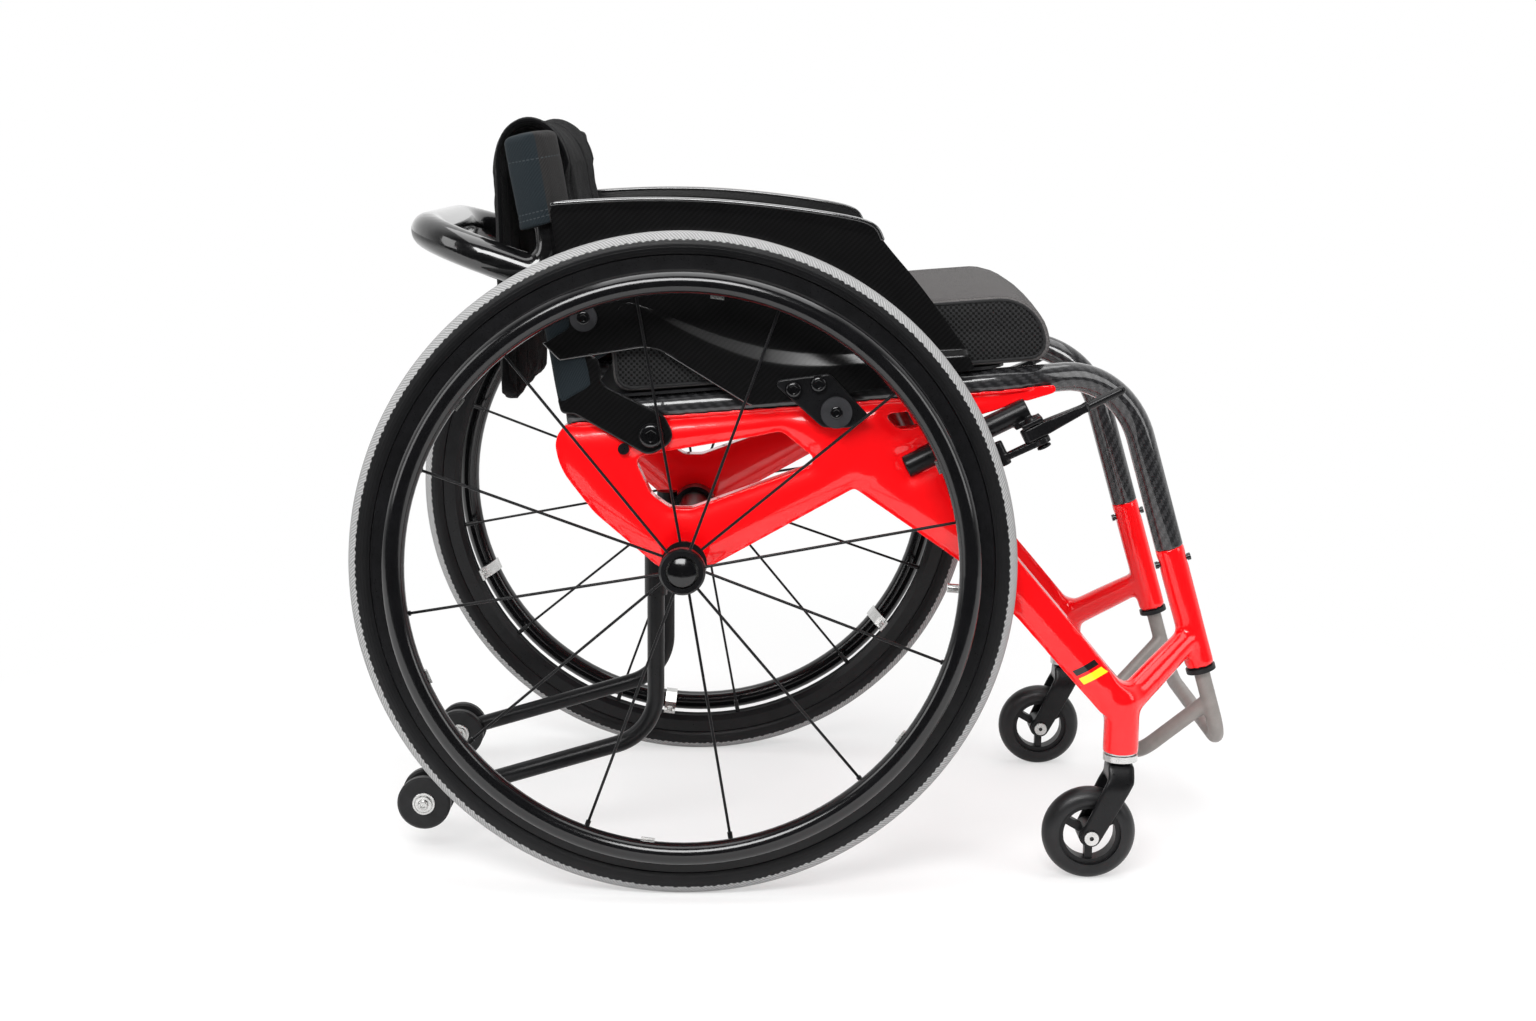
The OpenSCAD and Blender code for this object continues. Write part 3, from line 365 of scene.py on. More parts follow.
def make_tyre_rubber():
    """Black sidewall with fine rings, and a pale tread band with slanted grooves painted darker as shade,
    and a wavy edge.
    """
    net = Finish("tyre_rubber", Specular_IOR_Level=0.25)
    u, v, _ = net.parts(net.place["UV"])
    away = net.math("ABSOLUTE", v)
    edge = net.plus(net.times(net.wave(u, 6 * MM), 0.5 * MM), TREAD_HALF * MM)
    tread = net.spread(net.minus(edge, away), -0.2 * MM, 0.2 * MM)
    speckle = net.speckle("Object", 700.0)
    wall = net.mix(speckle["Drift"], (0.003, 0.003, 0.0034), (0.006, 0.006, 0.0068))
    band = net.mix(speckle["Grain"], (0.30, 0.30, 0.30), (0.40, 0.40, 0.40))
    groove = net.wave(net.plus(u, net.times(away, 0.8)), 3 * MM)
    ring = net.wave(away, 2.6 * MM)
    tread_height = net.times(net.spread(groove, -0.2, 0.4), tread)
    wall_height = net.times(net.spread(ring, 0.55, 0.9), net.minus(1.0, tread))
    height = net.plus(tread_height, net.times(wall_height, 0.5))
    height = net.plus(height, net.times(speckle["Grain"], 0.3))
    # The tread's grooves are painted darker than the band, as shade in them
    return net.shade(
        Base_Color=net.mix(tread, wall, net.mix(tread_height, (0.22, 0.22, 0.22), band)),
        Roughness=net.spread(tread, 0.0, 1.0, 0.42, 0.75),
        Normal=net.bump(height, 0.5, 0.4 * MM),
    )


def make_cushion_top():
    """Charcoal ribbed knit on the cushion's top and front, with painted shade in the grooves between the
    ribs.
    """
    net = Finish("cushion_ribbed_knit", Specular_IOR_Level=0.2, Sheen_Weight=0.05, Sheen_Roughness=0.4)
    ribs = net.use(RIBS, Vector=net.place["UV"], Pitch=RIB_PITCH)
    speckle = net.speckle("UV", 1400.0)
    yarn = net.mix(net.spread(speckle["Grain"], *CORE), (0.050, 0.047, 0.0465), (0.128, 0.121, 0.120))
    worn = net.mix(net.spread(speckle["Drift"], 0.35, 0.7), yarn, (0.098, 0.092, 0.091))
    # The grooves between the ribs are painted near-black as shade
    return net.shade(
        Base_Color=net.mix(net.spread(ribs["Height"], 0.05, 0.5), (0.012, 0.0115, 0.0115), worn),
        Roughness=net.graded(speckle["Grain"], 0.8, 0.95),
        Normal=net.bump(ribs["Height"], 0.8, 1.0 * MM),
    )


def make_cushion_side():
    """Black spacer mesh on the cushion's side panels."""
    net = Finish("cushion_spacer_mesh", Specular_IOR_Level=0.2, Sheen_Weight=0.03, Sheen_Roughness=0.4)
    holes = net.use(MESH_HOLES, Vector=net.place["UV"], Pitch=MESH_PITCH)
    speckle = net.speckle("UV", 1800.0)
    tone = net.spread(speckle["Grain"], *CORE)
    yarn = net.mix(tone, (0.0085, 0.0087, 0.0092), (0.023, 0.0232, 0.024))
    return net.shade(
        Base_Color=net.mix(holes["Hole"], yarn, (0.0005, 0.0005, 0.0005)),
        Roughness=net.graded(speckle["Grain"], 0.6, 0.85),
        Normal=net.bump(holes["Height"], 1.0, 1.4 * MM),
    )


def make_pile():
    """Short black pile on the back pad."""
    net = Finish("back_pile", Specular_IOR_Level=0.1, Sheen_Weight=0.04, Sheen_Roughness=0.35)
    lengthened = {0: net.place["UV"], 1: (1.0, 0.45, 1.0)}
    stretched = net.add("ShaderNodeVectorMath", lengthened, operation="MULTIPLY").outputs[0]
    fine = net.use(SPECKLE, Vector=stretched, Scale=1500.0)
    tuft = net.grain(net.place["UV"], 240.0, 5.0)
    tone = net.times(net.spread(fine["Grain"], *CORE), net.spread(tuft, 0.3, 0.65))
    height = net.plus(net.times(fine["Grain"], 0.6), tuft)
    return net.shade(
        Base_Color=net.mix(tone, (0.001, 0.001, 0.0013), (0.007, 0.007, 0.008)),
        Roughness=net.graded(fine["Grain"], 0.85, 0.98),
        Normal=net.bump(height, 0.8, 1.6 * MM),
    )


def make_sleeve_cloth(name, dark, light):
    """Woven cloth on the cane sleeves, with stitched hems."""
    net = Finish(name, Specular_IOR_Level=0.2, Sheen_Weight=0.04, Sheen_Roughness=0.4)
    weave = net.use(TWILL, Vector=net.place["UV"], Tow=SLEEVE_TOW)
    speckle = net.speckle("UV", 900.0)
    worn = [(a + b) / 2 for a, b in zip(dark, light)]
    colour = net.mix(net.spread(speckle["Drift"], *WIDE), net.mix(weave["Warp"], dark, light), worn)
    u, v, _ = net.parts(net.place["UV"])
    dash = net.math("GREATER_THAN", net.wave(u, SLEEVE_STITCH), -0.3)
    for hem in SLEEVE_SEAMS:
        away = net.math("ABSOLUTE", net.minus(v, hem * MM))
        colour = net.mix(net.times(net.math("LESS_THAN", away, STITCH_HALF), dash), colour, THREAD)
    return net.shade(
        Base_Color=colour,
        Roughness=net.graded(speckle["Grain"], 0.75, 0.92),
        Normal=net.bump(weave["Height"], 0.5, 0.4 * MM),
    )


FINISHES = {
    "red_paint": make_red_paint(),
    "carbon_gloss": make_carbon(
        "lacquered_carbon", "UV", (0, 1), 2.6, (0.010, 0.036), (0.34, 0.26), 0.9, 0.2, 0.1
    ),
    "carbon_bar": make_carbon(
        "smooth_black_carbon", "Object", (1, 2), 1.6, (0.003, 0.007), (0.2, 0.16), 0.9, 0.3, 0.05
    ),
    "polished_edge": speckled(
        "polished_carbon_edge", (0.006, 0.006, 0.0065), (0.012, 0.012, 0.0125), (0.14, 0.2), 700.0, 0.03,
        Specular_IOR_Level=0.9, Coat_Weight=1.0,
    ),
    "carbon_matte": make_carbon(
        "satin_carbon", "Object", (0, 2), 1.3, (0.0016, 0.0055), (0.34, 0.28), 0.6, 0.1, 0.016, 0.2
    ),
    "black_metal": speckled(
        "satin_black_anodising", (0.003, 0.003, 0.0034), (0.006, 0.006, 0.0068), (0.27, 0.34), 800.0,
        Specular_IOR_Level=0.25,
    ),
    "handrim": speckled(
        "handrim_satin_black", (0.003, 0.003, 0.0034), (0.005, 0.005, 0.0056), (0.13, 0.17), 600.0, 0.04
    ),
    "black_plastic": speckled(
        "moulded_black_plastic", (0.004, 0.004, 0.0045), (0.009, 0.009, 0.010), (0.38, 0.5), 1200.0, 0.3,
        Specular_IOR_Level=0.3,
    ),
    "gloss_plastic": speckled(
        "polished_black_plastic", (0.002, 0.002, 0.0023), (0.004, 0.004, 0.0045), (0.12, 0.18), 500.0, 0.05
    ),
    "rubber_disc": speckled(
        "dark_grey_rubber", (0.014, 0.014, 0.016), (0.022, 0.022, 0.025), (0.55, 0.7), 1400.0, 0.3,
        Specular_IOR_Level=0.3,
    ),
    "steel": speckled(
        "brushed_bright_steel", (0.50, 0.50, 0.49), (0.66, 0.66, 0.65), (0.22, 0.36), 1500.0, Metallic=1.0
    ),
    "grey_metal": speckled(
        "matte_warm_grey_coat", (0.205, 0.188, 0.176), (0.25, 0.232, 0.218), (0.42, 0.55), 1100.0, 0.3,
        Metallic=0.25,
    ),
    "caster_tyre": speckled(
        "caster_polyurethane", (0.005, 0.005, 0.0055), (0.010, 0.010, 0.011), (0.32, 0.45), 900.0, 0.2,
        Specular_IOR_Level=0.35,
    ),
    "tyre": make_tyre_rubber(),
    "cushion_top": make_cushion_top(),
    "cushion_side": make_cushion_side(),
    "pile": make_pile(),
    # The sleeve cloth in two copies: the darker, warmer one is painted shade on the front of the upper
    # sleeves
    "sleeve": make_sleeve_cloth(
        "slate_sleeve_cloth", (0.0055, 0.0092, 0.0118), (0.0135, 0.0205, 0.0255)
    ),
    "sleeve_front_painted_shade": make_sleeve_cloth(
        "charcoal_sleeve_cloth_painted_shade", (0.010, 0.0095, 0.0095), (0.026, 0.025, 0.025)
    ),
    "piping": speckled(
        "black_piping_cord", (0.003, 0.003, 0.0034), (0.010, 0.010, 0.011), (0.7, 0.9), 2500.0, 0.5
    ),
}


# Mesh building
BEND_STEP = 4
END_RINGS = 4
CORNER_STEPS = 10
WALL_TILT, FACE_TILT = 0.35, 0.6


def turns(count):
    """Angles of equal steps round a circle."""
    return [2 * math.pi * k / count for k in range(count)]


def linked(name, data):
    """New object in the scene."""
    made = bpy.data.objects.new(name, data)
    bpy.context.scene.collection.objects.link(made)
    return made


def put(piece, body, replaces):
    """Lets a piece ride on a body, in place of CAD pieces."""
    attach(piece, body)
    for node in replaces:
        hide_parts(node)


def new_piece(name, shape, body, finishes, picks=None, replaces=()):
    """Piece on a body, from a shape: places in metres, faces and flat coordinates, or None for these.

    Picks gives each face its finish.
    """
    places, faces, uvs = shape
    mesh = bpy.data.meshes.new(name)
    mesh.from_pydata([tuple(p) for p in places], [], faces)
    if uvs:
        layer = mesh.uv_layers.new(name="flat")
        layer.data.foreach_set("uv", [value for face in uvs for uv in face for value in uv])
    for key in finishes:
        mesh.materials.append(FINISHES[key])
    if picks:
        mesh.polygons.foreach_set("material_index", picks)
    mesh.shade_smooth()
    piece = linked(name, mesh)
    put(piece, body, replaces)
    return piece


def grid_faces(rows, columns, closed=False):
    """Faces of a grid of rows, and the row and column of each corner.

    Closed joins the last column to the first.
    """
    faces, corners = [], []
    for i in range(rows - 1):
        for k in range(columns if closed else columns - 1):
            n = (k + 1) % columns
            faces.append((i * columns + k, i * columns + n, (i + 1) * columns + n, (i + 1) * columns + k))
            corners.append(((i, k), (i, k + 1), (i + 1, k + 1), (i + 1, k)))
    return faces, corners


def round_place(frame_of, r, a, z):
    """Place at a radius, an angle and a height about Z of a frame."""
    return frame_of @ Vector((r * math.cos(a) * MM, r * math.sin(a) * MM, z * MM))


def lathe(frame_of, outline, segments):
    """Shape of a ring turned about Z of a frame from a closed outline of [radius, z]."""
    loop = outline + [outline[0]]
    lengths = [0.0]
    for a, b in zip(loop, loop[1:]):
        lengths.append(lengths[-1] + math.dist(a, b))
    places = [round_place(frame_of, r, a, z) for r, z in outline for a in turns(segments)]
    grid, corners = grid_faces(len(loop), segments, closed=True)
    faces = [tuple(p % len(places) for p in face) for face in grid]
    around = 2 * math.pi * max(r for r, _ in outline) * MM
    uvs = [[(around * k / segments, lengths[i] * MM) for i, k in face] for face in corners]
    return places, faces, uvs


def bent_path(corners, bends):
    """Points along straight stretches and round bends, in millimetres."""
    path = [corners[0]]
    for i in range(1, len(corners) - 1):
        before = (corners[i] - corners[i - 1]).normalized()
        after = (corners[i + 1] - corners[i]).normalized()
        turn = before.angle(after)
        start = corners[i] - before * bends[i] * math.tan(turn / 2)
        inward = (after - before * before.dot(after)).normalized()
        steps = max(3, round(math.degrees(turn) / BEND_STEP))
        for k in range(steps + 1):
            a = turn * k / steps
            path.append(start + inward * bends[i] * (1 - math.cos(a)) + before * bends[i] * math.sin(a))
    path.append(corners[-1])
    return path


def bar_rings(path, radius):
    """Rings of a bar as [place, way along, way across, radius, length so far]."""
    rings = []
    length = 0.0
    normal = (path[1] - path[0]).normalized().orthogonal().normalized()
    for i, point in enumerate(path):
        tangent = (path[min(i + 1, len(path) - 1)] - path[max(i - 1, 0)]).normalized()
        normal = (normal - tangent * normal.dot(tangent)).normalized()
        length += (point - path[i - 1]).length if i else 0.0
        rings.append((point, tangent, normal, radius, length))
    return rings


def end_rings(ring, sign, rounding):
    """Rings that round a bar over beyond its first or last ring."""
    point, tangent, across, radius, at = ring
    rings = []
    for k in range(1, END_RINGS + 1):
        a = math.pi / 2 * k / END_RINGS
        r = max(radius - rounding * (1 - math.cos(a)), radius * 0.05)
        move = rounding * math.sin(a) * sign
        rings.append((point + tangent * move, tangent, across, r, at + move))
    return rings


def sweep(path, radius, sides, rounding=0):
    """Shape of a round bar along a path in metres. Rounding rounds its ends over."""
    rings = bar_rings(path, radius)
    if rounding:
        rings = end_rings(rings[0], -1, rounding)[::-1] + rings + end_rings(rings[-1], 1, rounding)
    places = []
    for point, tangent, across, r, _ in rings:
        other = tangent.cross(across)
        for a in turns(sides):
            places.append(point + (across * math.cos(a) + other * math.sin(a)) * r)
    faces, corners = grid_faces(len(rings), sides, closed=True)
    step = 2 * math.pi * radius / sides
    uvs = [[(rings[i][4], k * step) for i, k in face] for face in corners]
    for end in (0, len(rings) - 1):
        cap = [end * sides + k for k in range(sides)]
        faces.append(cap[::-1] if end == 0 else cap)
        uvs.append([(rings[end][4], 0.0)] * sides)
    return places, faces, uvs


def add_balls(mesh, balls):
    """Joins balls to a mesh, given as places and radii in millimetres."""
    shape = bmesh.new()
    shape.from_mesh(mesh)
    for place, radius in balls:
        where = Matrix.Translation(place)
        bmesh.ops.create_icosphere(shape, subdivisions=3, radius=radius * MM, matrix=where)
    shape.to_mesh(mesh)
    shape.free()


def settle(piece):
    """Turns the modifiers of a piece into its own mesh."""
    graph = bpy.context.evaluated_depsgraph_get()
    shaped = bpy.data.meshes.new_from_object(piece.evaluated_get(graph))
    piece.modifiers.clear()
    piece.data = shaped


def relax(piece, passes, near=None):
    """Evens a mesh out, for passes rounds.

    Near is a place and a reach in millimetres, where the effect fades out.
    """
    soft = piece.modifiers.new("soft", "SMOOTH")
    soft.factor = 0.5
    soft.iterations = passes
    if near:
        place, reach = near
        group = piece.vertex_groups.new(name="near")
        for vertex in piece.data.vertices:
            share = 1 - (vertex.co - place).length / (reach * MM)
            if share > 0:
                group.add([vertex.index], share, "REPLACE")
        soft.vertex_group = group.name
    settle(piece)
    piece.vertex_groups.clear()


def crown_faces(piece, test, depth, reach):
    """Draws the flat sides of a slab in near its outline, so that they bulge in the middle."""
    mesh = piece.data
    normals = [v.normal.copy() for v in mesh.vertices]
    walls = [v.index for v, n in zip(mesh.vertices, normals) if abs(n.y) < WALL_TILT and test(v.co)]
    tree = kdtree.KDTree(len(walls))
    for index in walls:
        place = mesh.vertices[index].co
        tree.insert((place.x, 0, place.z), index)
    tree.balance()
    for vertex, normal in zip(mesh.vertices, normals):
        if abs(normal.y) > FACE_TILT and test(vertex.co):
            _, _, distance = tree.find((vertex.co.x, 0, vertex.co.z))
            share = max(0.0, 1 - distance / (reach * MM))
            vertex.co.y -= math.copysign(depth * MM * share**2, normal.y)


def smooth_copy(
    name, node, body, slot, voxel, passes, finish=None, crown=None, fillets=(), balls=(), bend=None
):
    """Copy of a CAD piece with its hard edges rounded over, in its place.

    Fillets soften it more near a place, balls fill its corners and bend moves its places.
    It has the finish of its slot's name, or another one.
    """
    source = NODES[node]
    mesh = source.data.copy()
    mesh.transform(source.matrix_world)
    if balls:
        add_balls(mesh, balls)
    mesh.materials.clear()
    piece = linked(name, mesh)
    even = piece.modifiers.new("even", "REMESH")
    even.mode = "VOXEL"
    even.voxel_size = voxel * MM
    settle(piece)
    if crown:
        crown_faces(piece, *crown)
    if bend:
        for vertex in piece.data.vertices:
            vertex.co = bend(vertex.co)
    relax(piece, passes)
    for place, reach, rounds in fillets:
        relax(piece, rounds, (place, reach))
    piece.data.materials.clear()
    piece.data.materials.append(FINISHES[finish or slot])
    piece.data.shade_smooth()
    put(piece, body, [node])


def even_steps(points, count):
    """Closed outline walked in equal steps."""
    loop = points + [points[0]]
    spans = [math.dist(a, b) for a, b in zip(loop, loop[1:])]
    total = sum(spans)
    out = []
    index, walked = 0, 0.0
    for k in range(count):
        target = total * k / count
        while walked + spans[index] < target:
            walked += spans[index]
            index += 1
        t = (target - walked) / spans[index] if spans[index] else 0.0
        a, b = loop[index], loop[index + 1]
        out.append((a[0] + (b[0] - a[0]) * t, a[1] + (b[1] - a[1]) * t))
    return out


def rounded_outline(corners):
    """Closed outline from [x, z, radius] corners."""
    out = []
    count = len(corners)
    for i, (x, z, r) in enumerate(corners):
        here = Vector((x, z))
        back = (Vector(corners[i - 1][:2]) - here).normalized()
        ahead = (Vector(corners[(i + 1) % count][:2]) - here).normalized()
        half = back.angle(ahead) / 2
        centre = here + (back + ahead).normalized() * r / math.sin(half)
        first = here + back * r / math.tan(half) - centre
        last = here + ahead * r / math.tan(half) - centre
        for k in range(CORNER_STEPS + 1):
            t = k / CORNER_STEPS
            out.append(tuple(centre + (first * (1 - t) + last * t).normalized() * r))
    return out


# Filled covers
COVER_FRAMES = 20
COVER_CLOTH = {
    "quality": 6,
    "mass": 0.25,
    "tension_stiffness": 12,
    "compression_stiffness": 8,
    "shear_stiffness": 4,
    "bending_stiffness": 0.6,
    "use_pressure": True,
    "vertex_group_mass": "sewn",
}


def inflate(piece, held, pressure, most):
    """Lets a filled cover settle under its own filling, with the held corners sewn in place.

    No corner moves further than the most, in millimetres.
    """
    scene = bpy.context.scene
    before = [v.co.copy() for v in piece.data.vertices]
    pins = piece.vertex_groups.new(name="sewn")
    pins.add(held, 1.0, "REPLACE")
    cover = piece.modifiers.new("cover", "CLOTH")
    for key, value in COVER_CLOTH.items():
        setattr(cover.settings, key, value)
    cover.settings.uniform_pressure_force = pressure
    cover.settings.effector_weights.gravity = 0.0
    cover.point_cache.frame_start = 1
    cover.point_cache.frame_end = COVER_FRAMES
    for moment in range(1, COVER_FRAMES + 1):
        scene.frame_set(moment)
    graph = bpy.context.evaluated_depsgraph_get()
    settled = [v.co.copy() for v in piece.evaluated_get(graph).data.vertices]
    piece.modifiers.remove(cover)
    piece.vertex_groups.remove(pins)
    for vertex, old, new in zip(piece.data.vertices, before, settled):
        move = new - old
        vertex.co = old + move * min(1.0, most * MM / max(move.length, 1e-9))
    scene.frame_set(1)


# Frame. Its junctions are places with the reach and the rounds of their softening.
FRAME_FLAT_END = 384
FRAME_CROWN, FRAME_CROWN_REACH = 5.0, 22
FRAME_JUNCTIONS = [((406, 183, -112), 58, 70), ((452, 132, -84), 38, 50)]
RAIL_SLOPE = math.tan(SEAT_ANGLE)
RAIL_CORNERS = [
    Vector((-104, 169, RAIL_Z - 104 * RAIL_SLOPE)),
    Vector((300, 169, RAIL_Z + 300 * RAIL_SLOPE)),
    Vector((398, 127, RAIL_Z + 398 * RAIL_SLOPE - 3.5)),
    Vector((446, 127, 5.3)),
]
RAIL_BENDS = [0, 120, 80, 0]
RAIL_R, RAIL_END = 13, 2


def build_side_frames():
    """Painted frames with bulging sides: the slab and the down tube are crowned, the sockets stay round."""
    front = chassis(FRAME_FLAT_END, 0, 0).x
    crown = (lambda place: place.x < front, FRAME_CROWN, FRAME_CROWN_REACH)
    for side, sign in SIDES.items():
        junctions = [(mirrored(place, sign), reach, rounds) for place, reach, rounds in FRAME_JUNCTIONS]
        smooth_copy(
            "painted_frame_" + side, "side_frame_" + side, "frame", "red_paint", 1.7, 20,
            crown=crown, fillets=junctions,
        )


def build_rails():
    """Lacquered carbon rails, over the knee and down into the sockets."""
    for side, sign in SIDES.items():
        path = [mirrored(place, sign) for place in bent_path(RAIL_CORNERS, RAIL_BENDS)]
        rail = sweep(path, RAIL_R * MM, 40, rounding=RAIL_END * MM)
        new_piece(
            "carbon_rail_" + side, rail, "frame", ["carbon_gloss"],
            replaces=["seat_rail_" + side],
        )


def build_footrest():
    """Grey footrest with its bends softened."""
    smooth_copy("grey_footrest", "footrest_frame", "footrest", "grey_metal", 1.6, 8)


# Side guards: [x, z, outboard step] places, the sheet's faces, its fold lines and its sharp corners
GUARD_Y, GUARD_T, GUARD_STEP = 189.5, 2.5, 4
GUARD_PLACES = [
    (-116, 316, 1.2), (-57, 320.5, 1.2), (14, 321, 1.2), (84, 315, 1.2), (150, 306, 1.2), (168, 299, 1.2),
    (-118, 308, 0), (-57, 312, 0), (14, 312, 0), (84, 305, 0), (150, 295, 0), (172, 288, 0),
    (-124, 194, 0), (-54, 235, 0), (64, 188, 0), (155, 187, 0), (248, 192, 0), (186, 271, 0), (207, 248, 0),
    (-50, 232, 0), (64, 169, GUARD_STEP), (155, 178, GUARD_STEP), (250, 186, GUARD_STEP),
    (-110, 180, 0), (-38, 192, 0), (-24, 191, 0), (59, 141, GUARD_STEP), (113, 147, GUARD_STEP),
    (178, 159, GUARD_STEP), (256, 175, GUARD_STEP), (-101, 208, 0),
]
GUARD_FACES = [
    (0, 1, 7, 6), (1, 2, 8, 7), (2, 3, 9, 8), (3, 4, 10, 9), (4, 5, 11, 10),
    (6, 7, 13, 30), (7, 8, 14, 13), (8, 9, 15, 14), (9, 10, 11, 17, 18, 16, 15),
    (13, 14, 20, 19), (14, 15, 21, 20), (15, 16, 22, 21),
    (12, 30, 13, 19, 24, 23), (19, 20, 26, 25, 24), (20, 21, 27, 26), (21, 22, 29, 28, 27),
]
GUARD_FOLDS = [(6, 7, 8, 9, 10, 11), (13, 14, 15, 16), (13, 19, 20, 21, 22), (19, 24)]
GUARD_CORNERS = (0, 6, 12, 30, 23, 24, 25, 26, 29, 22, 16)
FOLD_CREASE, CORNER_CREASE = 0.75, 0.8
GUARD_RIM = 0.7
# Edges with a bar along them: name, [x, z] of the start and the end, and the bar's radius
GUARD_EDGES = [
    ("guard_rim_", (-116, 316), (172, 288), 2.2),
    ("guard_cut_", (-124, 194), (59, 141), 1.32),
]


def border_walk(sheet):
    """Border of a sheet as places in order round it."""
    uses = {}
    for face in sheet.polygons:
        for pair in face.edge_keys:
            uses[pair] = uses.get(pair, 0) + 1
    beside = {}
    for a, b in (pair for pair, count in uses.items() if count == 1):
        beside.setdefault(a, []).append(b)
        beside.setdefault(b, []).append(a)
    first = min(beside)
    walk = [first, beside[first][0]]
    while walk[-1] != first:
        before, here = walk[-2:]
        walk.append(next(index for index in beside[here] if index != before))
    return [sheet.vertices[index].co.copy() for index in walk[:-1]]


def stretch(walk, start, end):
    """Shorter way along a closed walk between the places nearest to two others."""
    near = [min(range(len(walk)), key=lambda i: (walk[i] - place).length) for place in (start, end)]
    first, last = sorted(near)
    inner = walk[first:last + 1]
    outer = walk[last:] + walk[:first + 1]
    return inner if len(inner) < len(outer) else outer


def build_guard_rims(sheet, side, sign):
    """Rolled bead along a guard's top edge and a polished cut along its lower rear edge."""
    walk = border_walk(sheet)
    for name, start, end, radius in GUARD_EDGES:
        ends = [chassis(x, sign * GUARD_Y, z) for x, z in (start, end)]
        bar = sweep(stretch(walk, *ends), radius * MM, 16, rounding=radius * 0.9 * MM)
        new_piece(name + side, bar, "frame", ["polished_edge"])


def crease_guard(mesh):
    """Marks the fold lines and the sharp corners of a guard's sheet."""
    folds = mesh.attributes.new("crease_edge", "FLOAT", "EDGE")
    corners = mesh.attributes.new("crease_vert", "FLOAT", "POINT")
    for corner in GUARD_CORNERS:
        corners.data[corner].value = CORNER_CREASE
    pairs = {frozenset(pair) for line in GUARD_FOLDS for pair in zip(line, line[1:])}
    for edge in mesh.edges:
        if frozenset(edge.vertices) in pairs:
            folds.data[edge.index].value = FOLD_CREASE


def thicken_guard(guard):
    """Gives a guard's sheet its thickness and rounds its rim."""
    thick = guard.modifiers.new("thick", "SOLIDIFY")
    thick.thickness = GUARD_T * MM
    thick.offset = 0.0
    rim = guard.modifiers.new("rim", "BEVEL")
    rim.width = GUARD_RIM * MM
    rim.segments = 2
    rim.limit_method = "ANGLE"
    rim.angle_limit = math.radians(60)
    settle(guard)
    guard.data.shade_smooth()


def build_guards():
    """Moulded carbon guards with a turned-out top edge, crisp folds and rounded rims."""
    for side, sign in SIDES.items():
        places = [chassis(x, sign * (GUARD_Y + GUARD_T / 2 + out), z) for x, z, out in GUARD_PLACES]
        guard = new_piece(
            "moulded_guard_" + side, (places, GUARD_FACES, None), "frame", ["carbon_matte"],
            replaces=["side_guard_" + side],
        )
        crease_guard(guard.data)
        fine = guard.modifiers.new("fine", "SUBSURF")
        fine.levels = fine.render_levels = 4
        settle(guard)
        build_guard_rims(guard.data, side, sign)
        thicken_guard(guard)


# Seat cushion: its side outline as [x, z, radius] corners, and its rows near the side panels
CUSHION_REAR, CUSHION_FRONT = -62, 328
CUSHION_LOW, CUSHION_SEAM, CUSHION_CROWN = 17, 78, 12
CUSHION_HALF = 179
CUSHION_CORNERS = [
    (CUSHION_REAR, CUSHION_LOW, 14), (CUSHION_FRONT, CUSHION_LOW, 15),
    (CUSHION_FRONT, CUSHION_SEAM, 45), (CUSHION_REAR, CUSHION_SEAM + 1, 15),
]
CUSHION_STEPS, CUSHION_COLUMNS = 136, 44
# Side panel as [share drawn in, step outboard], and the strip's edge as [step inboard, share drawn in]
CUSHION_PANEL = [(1.0, 1.0), (0.9, 1.2), (0.7, 1.6), (0.5, 1.8), (0.34, 1.5), (0.22, 0.8)]
CUSHION_EDGE = [(1.5, 0.05), (5, 0.012)]
SEAM_INSET, EDGE_CROWN = 0.13, 0.05
SPINE_REAR, SPINE_FRONT = 30, 42
NOSE, NOSE_PUSH = 50, 5
CUSHION_PRESSURE, CUSHION_SWELL = 3.0, 5
PIPING_R = 1.5


def cushion_row(outline, y, inset, crown):
    """One row of the cover: the side outline at one y, drawn in towards its middle line by a share."""
    row = []
    middle = (CUSHION_LOW + CUSHION_SEAM) / 2
    for x, z in outline:
        spine = min(max(x, CUSHION_REAR + SPINE_REAR), CUSHION_FRONT - SPINE_FRONT)
        px = x + (spine - x) * inset
        pz = z + (middle - z) * inset
        lift = max(0.0, (z - middle) / (CUSHION_SEAM - middle)) ** 1.5
        push = NOSE_PUSH * max(0.0, (x - CUSHION_FRONT + NOSE) / NOSE)
        fold = noise.noise(Vector((x * 0.02, y * 0.02, z * 0.03))) * 1.2 * crown
        row.append(on_seat(px + push * crown, y, pz + (CUSHION_CROWN * crown + fold) * lift))
    return row


def cushion_rows():
    """Rows of the cover from right to left as [y, share drawn in, crown], and the two rows at the seams."""
    side = [(CUSHION_HALF + out, share, 0.0) for share, out in CUSHION_PANEL]
    edge = [(CUSHION_HALF - step, share, EDGE_CROWN) for step, share in CUSHION_EDGE]
    left = edge[::-1] + [(CUSHION_HALF, SEAM_INSET, 0.0)] + side[::-1]
    right = [(-y, share, crown) for y, share, crown in left[::-1]]
    middle = []
    for k in range(CUSHION_COLUMNS + 1):
        v = 2 * k / CUSHION_COLUMNS - 1
        middle.append(((CUSHION_HALF - 10) * v, 0.0, 1 - abs(v) ** 2.4 * 0.9))
    rows = right + middle + left
    return rows, (len(side), len(rows) - 1 - len(side))


def cushion_flat(outline, rows, seams, places, corners):
    """Flat coordinates and finish of each face: 0 on the strip between the seams, 1 on the side panels."""
    count = len(outline)
    walk = [0.0]
    for a, b in zip(outline, outline[1:] + outline[:1]):
        walk.append(walk[-1] + math.dist(a, b) * MM)
    uvs, picks = [], []
    for face in corners:
        on_strip = seams[0] <= face[0][0] < seams[1]
        picks.append(0 if on_strip else 1)
        if on_strip:
            uvs.append([(walk[k], rows[i][0] * MM) for i, k in face])
        else:
            ends = [places[i * count + k % count] for i, k in face]
            uvs.append([(place.x, place.z) for place in ends])
    return uvs, picks


